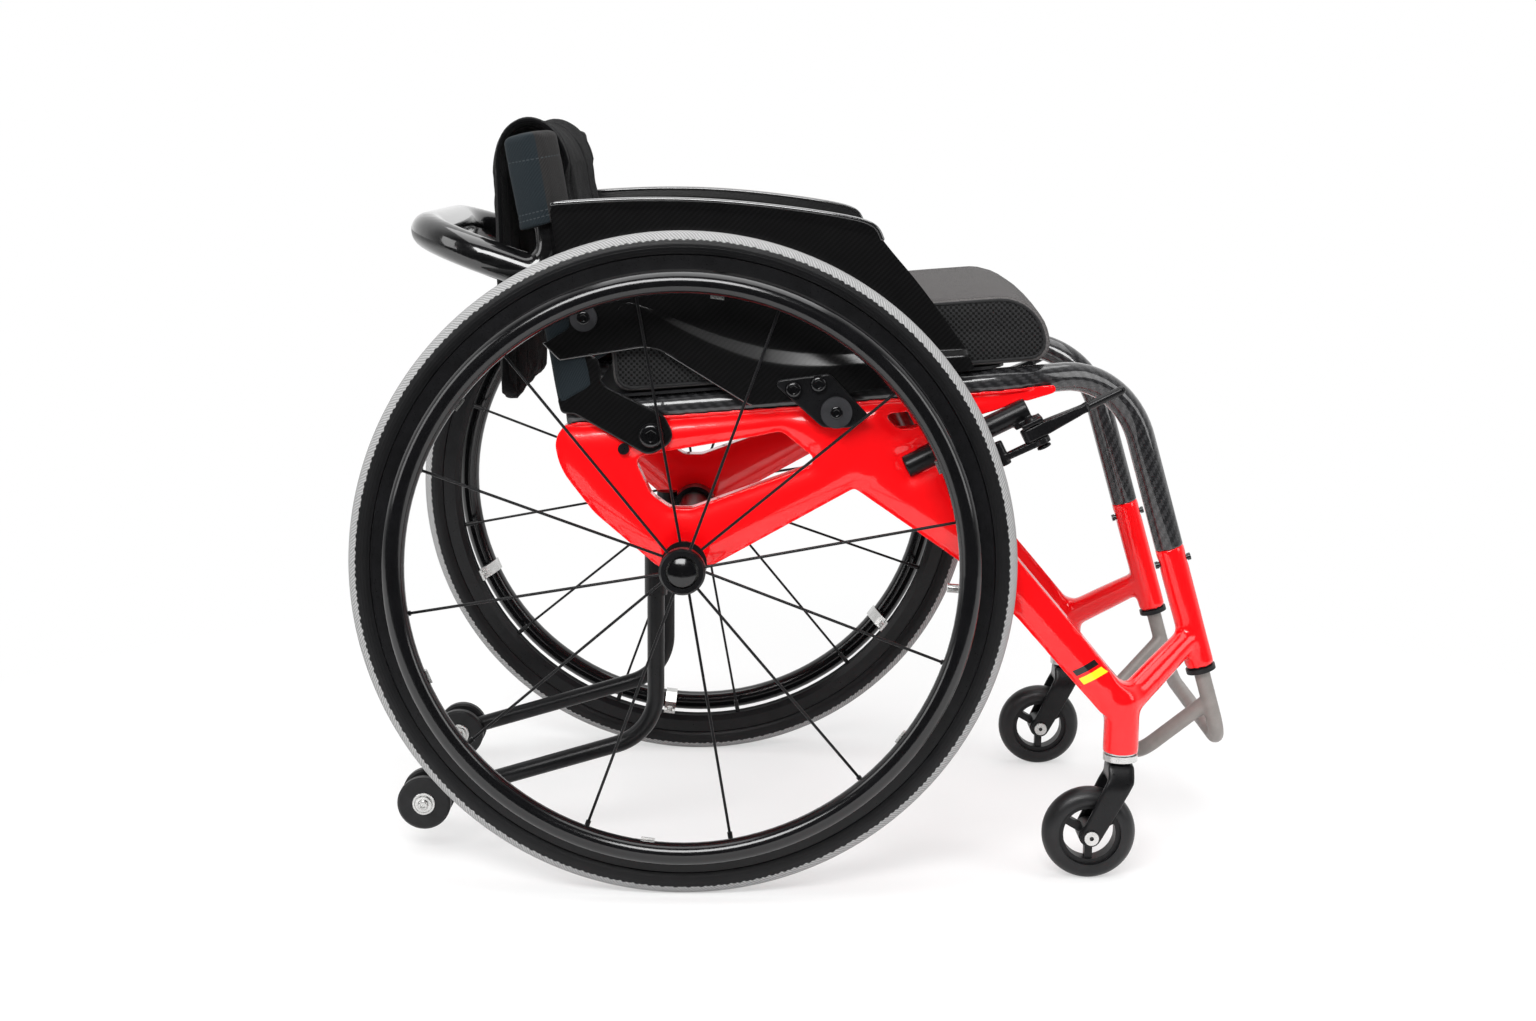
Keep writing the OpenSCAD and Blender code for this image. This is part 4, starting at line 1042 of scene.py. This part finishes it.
def build_cushion():
    """Sewn cushion: a ribbed strip over top and front, mesh side panels and a cord in each seam."""
    outline = even_steps(rounded_outline(CUSHION_CORNERS), CUSHION_STEPS)
    rows, seams = cushion_rows()
    count = len(outline)
    places = []
    for y, share, crown in rows:
        places += cushion_row(outline, y, share, crown)
    faces, corners = grid_faces(len(rows), count, closed=True)
    uvs, picks = cushion_flat(outline, rows, seams, places, corners)
    cushion = new_piece(
        "seat_cushion_cover", (places, faces, uvs), "frame",
        ["cushion_top", "cushion_side"], picks, ["seat_cushion"],
    )
    held = []
    for i, (_, share, _) in enumerate(rows):
        for k, (_, z) in enumerate(outline):
            if i in seams or z < CUSHION_LOW + 6 or share == 1.0:
                held.append(i * count + k)
    inflate(cushion, held, CUSHION_PRESSURE, CUSHION_SWELL)
    soft = [cushion]
    for side, seam in zip(SIDES, seams):
        loop = [cushion.data.vertices[seam * count + k % count].co.copy() for k in range(count + 1)]
        cord = sweep(loop, PIPING_R * MM, 10)
        soft.append(new_piece("cushion_cord_" + side, cord, "frame", ["piping"]))
    for piece in soft:
        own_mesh(piece)


# Back pad: its front, its hump over the canes and its rear flap, with lengths along its side line
PAD_FRONT_X, PAD_REAR_X = 26, -36
PAD_FRONT_Z, PAD_FLAP_Z = 44, 2
HUMP_Z, HUMP_H, HUMP_L = 205, 43, 120
FLAP_LEAN = 30
PAD_T = 10
PAD_HALF = 147
PAD_SAG = 12
PAD_SEAMS = (0.5, 0.86)
WELT_DEPTH, WELT_WIDTH = 2.2, 0.016
FLAP_ROUND = 34
PAD_PRESSURE, PAD_SWELL = 1.5, 3
PAD_ROWS, PAD_COLUMNS = 110, 96
FRONT_L = HUMP_Z - PAD_FRONT_Z
FLAP_L = HUMP_Z - PAD_FLAP_Z
PAD_L = FRONT_L + HUMP_L + FLAP_L


def pad_middle(s):
    """Side line of the pad: up the front, over the hump and down the rear flap."""
    if s < FRONT_L:
        return Vector((PAD_FRONT_X, PAD_FRONT_Z + s))
    if s < FRONT_L + HUMP_L:
        a = math.pi * (s - FRONT_L) / HUMP_L
        half = (PAD_FRONT_X - PAD_REAR_X) / 2
        return Vector((PAD_REAR_X + half + half * math.cos(a), HUMP_Z + HUMP_H * math.sin(a)))
    down = s - FRONT_L - HUMP_L
    return Vector((PAD_REAR_X - FLAP_LEAN * down / FLAP_L, HUMP_Z - down))


def pad_place(s, v, skin):
    """Place on one skin of the pad, with the sag between the canes and the folds of the flap."""
    middle = pad_middle(s)
    ahead = (pad_middle(min(PAD_L, s + 0.5)) - pad_middle(max(0, s - 0.5))).normalized()
    across = Vector((ahead.y, -ahead.x))
    upper = s < FRONT_L + HUMP_L
    sag = PAD_SAG * (1 - v * v) * math.sin(min(math.pi, math.pi * s / (FRONT_L + HUMP_L)))
    flap = max(0.0, (s - FRONT_L - HUMP_L) / FLAP_L)
    ends = min(1.0, (PAD_L - s) / 9, s / 6)
    edge = (1 - 0.75 * abs(v) ** 10) * (0.1 + 0.9 * math.sqrt(max(0.0, ends)))
    edge *= 1 + 0.9 * max(0.0, flap - 0.3) / 0.7
    welt = sum(math.exp(-(((abs(v) - seam) / WELT_WIDTH) ** 2)) for seam in PAD_SEAMS)
    pull = max(0.0, 1 - max(0.0, s / FRONT_L - 0.85) / 0.15) * abs(v) ** 8
    ripple = noise.noise(Vector((s * 0.02, v * 2.6, 3.1))) * (2.2 + 0.8 * flap)
    crease = noise.noise(Vector((s * 0.07, v * 5.0, 9.4))) * 0.9
    offset = skin * (edge * PAD_T / 2 - WELT_DEPTH * welt) + (ripple + crease) * (1 - abs(v) ** 6)
    fold = 1.5 * flap * math.cos(3 * math.pi * v)
    x = middle.x + across.x * offset - (sag if upper else 0) + fold - pull * (PAD_FRONT_X - 12.5)
    z = middle.y + across.y * offset - (0.3 * sag if s > FRONT_L else 0)
    return on_back(x, v * (PAD_HALF + 3 * pull), z)


def pad_skin(skin):
    """Places of one skin of the pad, with the corners of its flap rounded off."""
    places = []
    for i in range(PAD_ROWS):
        for k in range(PAD_COLUMNS):
            v = 2 * k / (PAD_COLUMNS - 1) - 1
            bend = max(0.0, (abs(v) - 0.7) / 0.3)
            length = PAD_L - FLAP_ROUND * (1 - math.sqrt(max(0.0, 1 - bend**2)))
            places.append(pad_place(length * i / (PAD_ROWS - 1), v, skin))
    return places


def grid_rim(rows, columns):
    """Border of a grid, in order round it."""
    rim = list(range(columns))
    rim += [i * columns + columns - 1 for i in range(1, rows)]
    rim += [(rows - 1) * columns + k for k in range(columns - 2, -1, -1)]
    return rim + [i * columns for i in range(rows - 2, 0, -1)]


def build_back_pad():
    """Pile pad over the canes' gap, with a hanging rear flap."""
    size = PAD_ROWS * PAD_COLUMNS
    faces, corners = grid_faces(PAD_ROWS, PAD_COLUMNS)
    width, length = 2 * PAD_HALF * MM, PAD_L * MM
    uvs = [[(k / PAD_COLUMNS * width, i / PAD_ROWS * length) for i, k in face] for face in corners]
    faces += [tuple(size + p for p in reversed(face)) for face in faces]
    uvs += [uv[::-1] for uv in uvs]
    rim = grid_rim(PAD_ROWS, PAD_COLUMNS)
    for a, b in zip(rim, rim[1:] + rim[:1]):
        faces.append((b, a, size + a, size + b))
        uvs.append([(0.0, 0.0), (0.005, 0.0), (0.005, 0.005), (0.0, 0.005)])
    shape = (pad_skin(1) + pad_skin(-1), faces, uvs)
    pad = new_piece("back_pad_cover", shape, "back", ["pile"], replaces=["back_upholstery"])
    inflate(pad, rim + [size + p for p in rim], PAD_PRESSURE, PAD_SWELL)


# Sleeves on the canes, as [low end, high end] along them. The upper one is closed by a dome.
SLEEVES = {"upper": (156, 236), "lower": (4, 85)}
SLEEVE_SIDES = 48
SLEEVE_TURN = math.radians(28)
CUFF_WIDTH = 0.84
CUFF_SLANT, HEM_SLANT = 0.37, 0.12
# Half angle of the front faces of the upper sleeves that are painted darker and warmer as shade
FRONT_SHADE_ANGLE = math.radians(75)


def sleeve_rows(low, high, domed):
    """Rows of a sleeve as [z, radius]: turned in at the hems, with a soft dent at each seam."""
    rows = [(low + 6, 12.6), (low + 0.5, 13.0), (low, 16), (low + 0.4, SLEEVE_R - 1.2), (low + 2, SLEEVE_R)]
    steps = round((high - low - 16) / 2)
    for k in range(1, steps):
        z = low + 2 + (high - low - 16) * k / steps
        dent = sum(math.exp(-((z - seam) / 1.1) ** 2) for seam in SLEEVE_SEAMS) if domed else 0.0
        rows.append((z, SLEEVE_R - 0.5 * dent))
    turn = 7 if domed else 2
    for k in range(9):
        a = math.pi / 2 * k / 8
        rows.append((high - turn + turn * math.sin(a), SLEEVE_R - turn + turn * math.cos(a)))
    if domed:
        return rows + [(high + 0.6, 8.0), (high + 0.8, 4.0), (high + 0.8, 0.2)]
    return rows + [(high, 14), (high - 0.5, 12.6), (high - 6, 12.6)]


def boxed(angle, radius, share, turn):
    """Place round a sleeve with its section squared off by a share and its corners turned round the cane."""
    c, s = math.cos(angle - turn), math.sin(angle - turn)
    square = (c**6 + s**6) ** (-1 / 6)
    reach = radius * (1 + (square - 1) * share)
    return reach * math.cos(angle), min(max(reach * math.sin(angle), -SLEEVE_R), SLEEVE_R)


def sleeve_place(name, z, r, a, sign):
    """Place on a sleeve at a height and an angle, with soft creases and a slanted lower hem."""
    low, _ = SLEEVES[name]
    crease = noise.noise(Vector((math.cos(a) * 1.6, math.sin(a) * 1.6 + sign, z * 0.035)))
    outer = ramp(r, 13, 19)
    radius = r + crease * 0.7 * outer
    if name == "upper":
        x, y = boxed(a, radius, 0.6 * outer, sign * SLEEVE_TURN)
        rise = HEM_SLANT * x * max(0.0, 1 - (z - low) / 30)
    else:
        x, y = boxed(a, radius, outer, 0.0)
        x *= CUFF_WIDTH
        rise = CUFF_SLANT * x * max(0.0, 1 - (z - low) / 40)
    return on_back(x, sign * CANE_Y + y, z + rise)


def build_sleeve(name, side, sign):
    """One cloth sleeve. On the upper one, the front faces take a darker, warmer copy of the same cloth as
    painted shade.
    """
    domed = name == "upper"
    rows = sleeve_rows(*SLEEVES[name], domed)
    places = [sleeve_place(name, z, r, a, sign) for z, r in rows for a in turns(SLEEVE_SIDES)]
    faces, corners = grid_faces(len(rows), SLEEVE_SIDES, closed=True)
    step = 2 * math.pi * SLEEVE_R / SLEEVE_SIDES * MM
    uvs = [[(k * step, rows[i][0] * MM) for i, k in face] for face in corners]
    picks = [0] * len(faces)
    if domed:
        # Front faces take the shaded copy of the cloth: painted shade
        middles = [2 * math.pi * sum(k for _, k in face) / len(face) / SLEEVE_SIDES for face in corners]
        picks = [int(math.cos(a) > math.cos(FRONT_SHADE_ANGLE)) for a in middles] + [0]
        last = (len(rows) - 1) * SLEEVE_SIDES
        faces.append([last + k for k in range(SLEEVE_SIDES)])
        uvs.append([(0.0, 0.0)] * SLEEVE_SIDES)
    piece = new_piece(
        name + "_sleeve_" + side, (places, faces, uvs), "back", ["sleeve", "sleeve_front_painted_shade"],
        picks, ["back_upholstery"],
    )


def build_sleeves():
    """Cloth sleeves on the canes, above and below the push bar."""
    for side, sign in SIDES.items():
        for name in SLEEVES:
            build_sleeve(name, side, sign)


# Push bar: where it meets the canes, the way it leaves them, and the balls along each elbow
BAR_RISE = 104
BAR_AHEAD = Vector((-114, 63.6))
ELBOW = 46
ELBOW_STEPS = 16
ELBOW_R, ELBOW_SLIMMING = 15.6, 3.4


def build_push_bar():
    """Push bar that bends up into the canes: balls along each bend fill the corner."""
    balls = []
    corner = Vector((0, BAR_RISE))
    rear = corner + BAR_AHEAD.normalized() * ELBOW
    top = corner + Vector((0, ELBOW))
    for sign in SIDES.values():
        for k in range(1, ELBOW_STEPS):
            t = k / ELBOW_STEPS
            x, z = rear * (1 - t) ** 2 + corner * 2 * t * (1 - t) + top * t**2
            balls.append((on_back(x, sign * CANE_Y, z), ELBOW_R - ELBOW_SLIMMING * t))
    smooth_copy("carbon_push_bar", "back_frame", "back", "carbon_gloss", 2.0, 16, "carbon_bar", balls=balls)


# Rear tyres
TYRE_SEGMENTS, WALL_STEPS = 480, 48
WALL_TURN = 132
WALL_SINK = 0.35
BEAD_R, BEAD_HALF = 275.6, 6.0
NOTCH, NOTCH_LENGTH, NOTCH_EVERY = 0.7, 5.5, 3


def tyre_outline():
    """Side wall and tread of the rear tyre as [radius, z], closed along the beads."""
    middle = WHEEL_R - TYRE_R
    out = []
    for k in range(WALL_STEPS + 1):
        a = math.radians(-WALL_TURN + 2 * WALL_TURN * k / WALL_STEPS)
        r = TYRE_R if abs(a) * TYRE_R < TREAD_HALF else TYRE_R - WALL_SINK
        out.append((middle + r * math.cos(a), r * math.sin(a)))
    return out + [(BEAD_R, BEAD_HALF), (BEAD_R, -BEAD_HALF)]


def centre_uv(uvs, outline):
    """Moves the second coordinate so that it is nought on the middle of the tread."""
    wall = outline[:WALL_STEPS // 2 + 1]
    half = sum(math.dist(a, b) for a, b in zip(wall, wall[1:])) * MM
    return [[(u, v - half) for u, v in face] for face in uvs]


def notch_tread(places, outline, centre):
    """Cuts a notch into the tread's shoulders at every few steps round the tyre."""
    for i, (r, z) in enumerate(outline):
        walk = abs(math.atan2(z, r - WHEEL_R + TYRE_R)) * TYRE_R
        if TREAD_HALF - NOTCH_LENGTH < walk < TREAD_HALF:
            for k in range(0, TYRE_SEGMENTS, NOTCH_EVERY):
                place = places[i * TYRE_SEGMENTS + k]
                places[i * TYRE_SEGMENTS + k] = centre + (place - centre) * (1 - NOTCH / WHEEL_R)


def build_tyres():
    """Rear tyres with notched shoulders."""
    outline = tyre_outline()
    for side, sign in SIDES.items():
        places, faces, uvs = lathe(wheel_frame(sign), outline, TYRE_SEGMENTS)
        notch_tread(places, outline, wheel_frame(sign).translation)
        shape = (places, faces, centre_uv(uvs, outline))
        new_piece("treaded_tyre_" + side, shape, "wheel_" + side, ["tyre"], replaces=["tyre_" + side])


# Screw heads: places of the cross bolts as [x, z], and heads as [place, y, radius, height]
BRACKET_BOLTS = [(96, 156), (118, 161)]
GUARD_DISC, GUARD_KNOB, BACK_PIVOT = (134, 136), (-89, 217), (-30, 112.3)
BRACKET_FACE = 199.1
SCREW_HEADS = [(at, BRACKET_FACE + 0.2, 7.2, 4.2) for at in BRACKET_BOLTS] + [
    (GUARD_DISC, BRACKET_FACE + 4.4, 5.6, 1.6),
    (GUARD_KNOB, 197.0, 5.8, 1.6),
    (BACK_PIVOT, 191.3, 10.2, 2.4),
]
HEAD_SEGMENTS = 36
HEAD_EDGE = 0.3


def head_rings(radius, height):
    """Rings of a screw head as [radius, z, whether it is a hexagon], from its foot to its socket's floor."""
    hexagon = radius * 0.5
    flat = hexagon + 0.5
    rings = [(radius * 0.98, 0.0, False), (radius, HEAD_EDGE, False)]
    for k in range(9):
        a = math.pi / 2 * k / 8
        rise = HEAD_EDGE + (height - HEAD_EDGE) * (0.3 + 0.7 * math.sin(a))
        rings.append((flat + (radius - flat) * math.cos(a), rise, False))
    rings += [(hexagon, height - 0.3, True), (hexagon, height * 0.35, True)]
    return rings + [(0.15, height * 0.3, False)]


def socket_head(name, centre, axis, radius, height, body, key="gloss_plastic"):
    """Round screw head with a chamfer and a hexagon socket."""
    around = turning_frame(centre, axis)
    rings = head_rings(radius, height)
    sixth = math.pi / 6
    places = []
    for r, z, is_hexagon in rings:
        for a in turns(HEAD_SEGMENTS):
            part = (a + sixth) % (2 * sixth) - sixth
            reach = r * math.cos(sixth) / math.cos(part) if is_hexagon else r
            places.append(round_place(around, reach, a, z))
    faces, _ = grid_faces(len(rings), HEAD_SEGMENTS, closed=True)
    foot = list(range(HEAD_SEGMENTS))
    last = (len(rings) - 1) * HEAD_SEGMENTS
    faces += [foot[::-1], [last + k for k in foot]]
    piece = new_piece(name, (places, faces, None), body, [key])
    piece.data.set_sharp_from_angle(angle=math.radians(40))


def build_screws():
    """Screw heads on the guard brackets, the discs, the rear knobs and the pivot caps."""
    for side, sign in SIDES.items():
        for number, ((x, z), y, radius, height) in enumerate(SCREW_HEADS, 1):
            name = "guard_screw_" + side + "_" + str(number)
            socket_head(name, chassis(x, sign * y, z), Vector((0, sign, 0)), radius, height, "frame")


# Anti-tip wheels: their middle, and a bearing's face as [radius, z]
ANTI_TIP_AT = (-246, -244.7)
ANTI_TIP_Y = 120
ROLLER_FACE = 19.3
BEARING_OUTLINE = [
    (3.2, 0.0), (3.2, 1.7), (5.0, 1.9), (5.4, 1.3), (8.2, 1.3), (8.6, 1.9), (10.2, 1.9), (10.6, 1.5),
    (10.6, 0.0),
]
BOLT_STEP = 3.7


def build_roller_bearings():
    """Bright bearing faces in the anti-tip wheels: two races with a sunk shield between them."""
    x, z = ANTI_TIP_AT
    for side, sign in SIDES.items():
        for way, label in ((1, "outer_"), (-1, "inner_")):
            axis = Vector((0, sign * way, 0))
            centre = chassis(x, sign * ANTI_TIP_Y + sign * way * ROLLER_FACE, z)
            face = lathe(turning_frame(centre, axis), BEARING_OUTLINE, 40)
            name = "roller_bearing_" + label + side
            ring = new_piece(name, face, "anti_tip_rollers_" + side, ["steel"])
            ring.data.set_sharp_from_angle(angle=math.radians(35))
            bolt = "roller_bolt_" + label + side
            socket_head(bolt, centre + axis * BOLT_STEP * MM, axis, 5.0, 3.0, "anti_tip_" + side, "steel")


# Caster forks and brakes
CASTER_AT = (371.5, -251.7)
CASTER_Y = 185
FORK_SHOULDER, FORK_TOP = -211, -183.5
FORK_CORNER, FORK_REACH, FORK_ROUNDS = (410, CASTER_Y, -195), 34, 70
FORK_DRAW = 0.45
BRAKE_AT = (312, 195.3, 120.3)
BRAKE_SLOPE = math.radians(26.6)
BRAKE_AXIS = Vector((-math.sin(BRAKE_SLOPE), 0, math.cos(BRAKE_SLOPE)))
BRAKE_AHEAD = Vector((math.cos(BRAKE_SLOPE), 0, math.sin(BRAKE_SLOPE)))
PIN_LOW, PIN_HIGH, PIN_REACH, PIN_SLIMMING = -13, 6.4, 5, 0.2
# Taper of a lever as [share, start, end] along it
LEVER_TAPER = [(0.4, 10, 44), (-0.28, 46, 53)]


def arch_fork(place):
    """Draws the sides of a fork in towards its top, so that it closes in an arch."""
    share = ramp(place.z, chassis(0, 0, FORK_SHOULDER).z, chassis(0, 0, FORK_TOP).z)
    middle = math.copysign(CASTER_Y * MM, place.y)
    return Vector((place.x, middle + (place.y - middle) * (1 - FORK_DRAW * share**2), place.z))


def from_brake(place):
    """Way to a place from the pivot of the brake on its side."""
    return place - mirrored(BRAKE_AT, math.copysign(1, place.y))


def slim_pin(place):
    """Thins the hidden part of a brake's pin, so that lever and shoe turn clear of it."""
    way = from_brake(place)
    along = way.dot(BRAKE_AXIS)
    out = way - BRAKE_AXIS * along
    hidden = PIN_LOW * MM < along < PIN_HIGH * MM and out.length < PIN_REACH * MM
    return place - out * PIN_SLIMMING if hidden else place


def taper_lever(place):
    """Draws a brake lever thinner from its pivot to the end of its grip, and less so at its round tip."""
    way = from_brake(place)
    along = way.dot(BRAKE_AHEAD) / MM
    share = sum(part * ramp(along, start, end) for part, start, end in LEVER_TAPER)
    return place - BRAKE_AXIS * way.dot(BRAKE_AXIS) * share


def build_plates():
    """Black plates, forks and brake pieces with their edges broken."""
    smooth_copy("hinge_plates", "back_hinge_plates", "back", "black_metal", 0.9, 4, "carbon_matte")
    smooth_copy("bracket_plates", "guard_brackets", "frame", "black_metal", 0.8, 4)
    smooth_copy("brake_clamps", "brake_mounts", "frame", "black_metal", 0.8, 4, bend=slim_pin)
    for side, sign in SIDES.items():
        corner = (mirrored(FORK_CORNER, sign), FORK_REACH, FORK_ROUNDS)
        smooth_copy(
            "rounded_fork_" + side, "caster_fork_" + side, "caster_" + side, "black_metal", 1.1, 9,
            fillets=[corner], bend=arch_fork,
        )
        smooth_copy(
            "brake_handle_" + side, "brake_lever_" + side, "lever_" + side, "black_metal", 0.8, 8,
            bend=taper_lever,
        )
        smooth_copy("brake_shoe_arm_" + side, "brake_shoe_" + side, "shoe_" + side, "black_metal", 0.8, 4)


# CAD pieces that keep their own shape, by finish. Names in the second table go on with a side.
DRESSED = {
    "black_metal": ("axle_tube", "cross_tube", "anti_tip_receivers", "back_pivots"),
    "gloss_plastic": ("guard_fasteners", "footrest_screws"),
    "steel": ("axle_receivers", "caster_head_bearings"),
    "black_plastic": ("footrest_bushes", "seat_base"),
}
DRESSED_BY_SIDE = {
    "black_metal": ("rim_", "spokes_", "hub_", "anti_tip_arm_"),
    "handrim": ("handrim_",),
    "steel": ("hub_bearings_", "rim_fittings_", "axle_pin_", "caster_bearings_", "caster_axle_"),
    "gloss_plastic": ("axle_button_",),
    "black_plastic": ("caster_rim_", "anti_tip_wheels_"),
    "caster_tyre": ("caster_tyre_",),
}
DISC_R = 15
CASTER_SOCKET_R, CASTER_BOLT_HALF = 2.3, 20
ARM_BOLT_HALF = 20.3


def dress(node, key):
    """Puts a finish on a CAD piece as it is."""
    mesh = NODES[node].data
    mesh.materials.clear()
    mesh.materials.append(FINISHES[key])


def dress_part(node, key, test):
    """Second finish on the faces of a CAD piece that pass a test on their middle."""
    piece = NODES[node]
    piece.data.materials.append(FINISHES[key])
    index = len(piece.data.materials) - 1
    for face in piece.data.polygons:
        if test(piece.matrix_world @ face.center):
            face.material_index = index


def apart(place, x, z):
    """Distance in millimetres from a cross line through x and z of the chassis."""
    centre = chassis(x, 0, z)
    return math.hypot(place.x - centre.x, place.z - centre.z) / MM


def off_plane(place, y):
    """Distance in millimetres from the planes at y on both sides."""
    return abs(abs(place.y) / MM - y)


def dress_frame():
    """Finishes of the frame's pieces, with rubber on the guards' discs and knobs."""
    for key, nodes in DRESSED.items():
        for node in nodes:
            dress(node, key)
    for at in (GUARD_DISC, GUARD_KNOB):
        dress_part("guard_fasteners", "rubber_disc", lambda place: apart(place, *at) < DISC_R)


def dress_wheels():
    """Finishes of the wheels, casters and anti-tippers, with other ones on their bolts' ends."""
    for side in SIDES:
        for key, nodes in DRESSED_BY_SIDE.items():
            for node in nodes:
                dress(node + side, key)
        dress_part(
            "caster_axle_" + side, "gloss_plastic",
            lambda place: apart(place, *CASTER_AT) < CASTER_SOCKET_R
            and off_plane(place, CASTER_Y) > CASTER_BOLT_HALF,
        )
        dress_part(
            "anti_tip_arm_" + side, "steel", lambda place: off_plane(place, ANTI_TIP_Y) > ARM_BOLT_HALF
        )


build_side_frames()
build_rails()
build_footrest()
build_guards()
build_cushion()
build_back_pad()
build_sleeves()
build_push_bar()
build_tyres()
build_screws()
build_plates()
build_roller_bearings()
dress_frame()
dress_wheels()


# Stage: a white floor that keeps the shadow, soft panels and a camera, in metres
WHITE = (1, 1, 1, 1)
FLOOR_TONE = (0.9, 0.9, 0.9, 1)
FLOOR_REACH, FLOOR_FRONT = 30.0, -1.0
# Panels as [name, place, aim, width, height, power]
PANELS = [
    ("overhead_panel", (0.1, 0.0, 2.6), (0, 0, 0.3), 2.2, 2.2, 42),
    ("key_panel", (-0.5, -2.6, 2.2), (0, 0, 0.3), 1.8, 1.0, 85),
    ("front_panel", (2.2, -1.2, 1.3), (0.1, 0, 0.35), 0.8, 1.6, 16),
    ("rear_panel", (-2.2, -1.0, 1.3), (-0.1, 0, 0.35), 0.8, 1.6, 14),
]
CAMERA_AT = (AXLE_X + 0.06737, -2.10605, 0.67215)
CAMERA_YAW, CAMERA_PITCH, CAMERA_ROLL = (math.radians(a) for a in (0.2134, 9.815, 0.5108))
CAMERA_LENS, CAMERA_SENSOR = 51.007, 36
CAMERA_END = 100


def make_stage():
    """White floor that glows for the camera, and less near the object, so that its shadow shows."""
    material = bpy.data.materials.new("white_floor")
    material.use_nodes = True
    net = Net(material.node_tree)
    net.tree.nodes.clear()
    matte = net.add("ShaderNodeBsdfDiffuse", {"Color": FLOOR_TONE}).outputs[0]
    glow = net.add("ShaderNodeEmission", {"Color": WHITE, "Strength": 1.0}).outputs[0]
    seen = net.add("ShaderNodeLightPath").outputs["Is Camera Ray"]
    place = net.add("ShaderNodeTexCoord").outputs["Object"]
    away = net.add("ShaderNodeVectorMath", {0: place}, operation="LENGTH").outputs["Value"]
    share = net.times(seen, net.spread(away, 0.5, 1.1, 0.5, 1.0))
    mixed = net.add("ShaderNodeMixShader", {0: share, 1: matte, 2: glow}).outputs[0]
    net.add("ShaderNodeOutputMaterial", {0: mixed})
    mesh = bpy.data.meshes.new("studio_floor")
    ends = ((-1, FLOOR_FRONT), (1, FLOOR_FRONT), (1, FLOOR_REACH), (-1, FLOOR_REACH))
    mesh.from_pydata([(way * FLOOR_REACH, y, 0) for way, y in ends], [], [(0, 1, 2, 3)])
    mesh.materials.append(material)
    linked("studio_floor", mesh)


def make_world():
    """White room: plain for the light, darker behind the camera for what surfaces mirror."""
    world = bpy.data.worlds.new("bright_room")
    bpy.context.scene.world = world
    world.use_nodes = True
    net = Net(world.node_tree)
    net.tree.nodes.clear()
    rays = net.add("ShaderNodeLightPath").outputs
    _, behind, _ = net.parts(net.add("ShaderNodeTexCoord").outputs["Generated"])
    strengths = (0.5, net.spread(behind, -0.3, 0.3, 0.02, 1.0), 1.0)
    plain, room, white = [
        net.add("ShaderNodeBackground", {"Color": WHITE, "Strength": strength}).outputs[0]
        for strength in strengths
    ]
    lit = net.add("ShaderNodeMixShader", {0: rays["Is Glossy Ray"], 1: plain, 2: room}).outputs[0]
    seen = net.math("MAXIMUM", rays["Is Camera Ray"], rays["Is Transmission Ray"])
    mixed = net.add("ShaderNodeMixShader", {0: seen, 1: lit, 2: white}).outputs[0]
    net.add("ShaderNodeOutputWorld", {0: mixed})


def add_panel(name, place, aim, width, height, power):
    """Soft light panel that faces its aim."""
    lamp = bpy.data.lights.new(name, "AREA")
    lamp.shape = "RECTANGLE"
    lamp.size = width
    lamp.size_y = height
    lamp.energy = power
    panel = linked(name, lamp)
    panel.location = place
    panel.rotation_euler = (Vector(aim) - Vector(place)).to_track_quat("-Z", "Y").to_euler()


def make_camera():
    """Camera of the picture: place, turn and lens fitted to the object in the photograph."""
    level = Vector((math.sin(CAMERA_YAW), math.cos(CAMERA_YAW), 0))
    ahead = level * math.cos(CAMERA_PITCH) - Vector((0, 0, math.sin(CAMERA_PITCH)))
    right = Vector((level.y, -level.x, 0))
    up = right.cross(ahead)
    across = right * math.cos(CAMERA_ROLL) + up * math.sin(CAMERA_ROLL)
    upward = up * math.cos(CAMERA_ROLL) - right * math.sin(CAMERA_ROLL)
    lens = bpy.data.cameras.new("picture_camera")
    lens.sensor_width = CAMERA_SENSOR
    lens.sensor_fit = "HORIZONTAL"
    lens.lens = CAMERA_LENS
    lens.clip_end = CAMERA_END
    camera = linked("picture_camera", lens)
    turn = Matrix((across, upward, -ahead)).transposed().to_4x4()
    camera.matrix_world = Matrix.Translation(CAMERA_AT) @ turn
    bpy.context.scene.camera = camera


make_stage()
make_world()
for panel_values in PANELS:
    add_panel(*panel_values)
make_camera()
bpy.context.scene.view_settings.view_transform = "Standard"
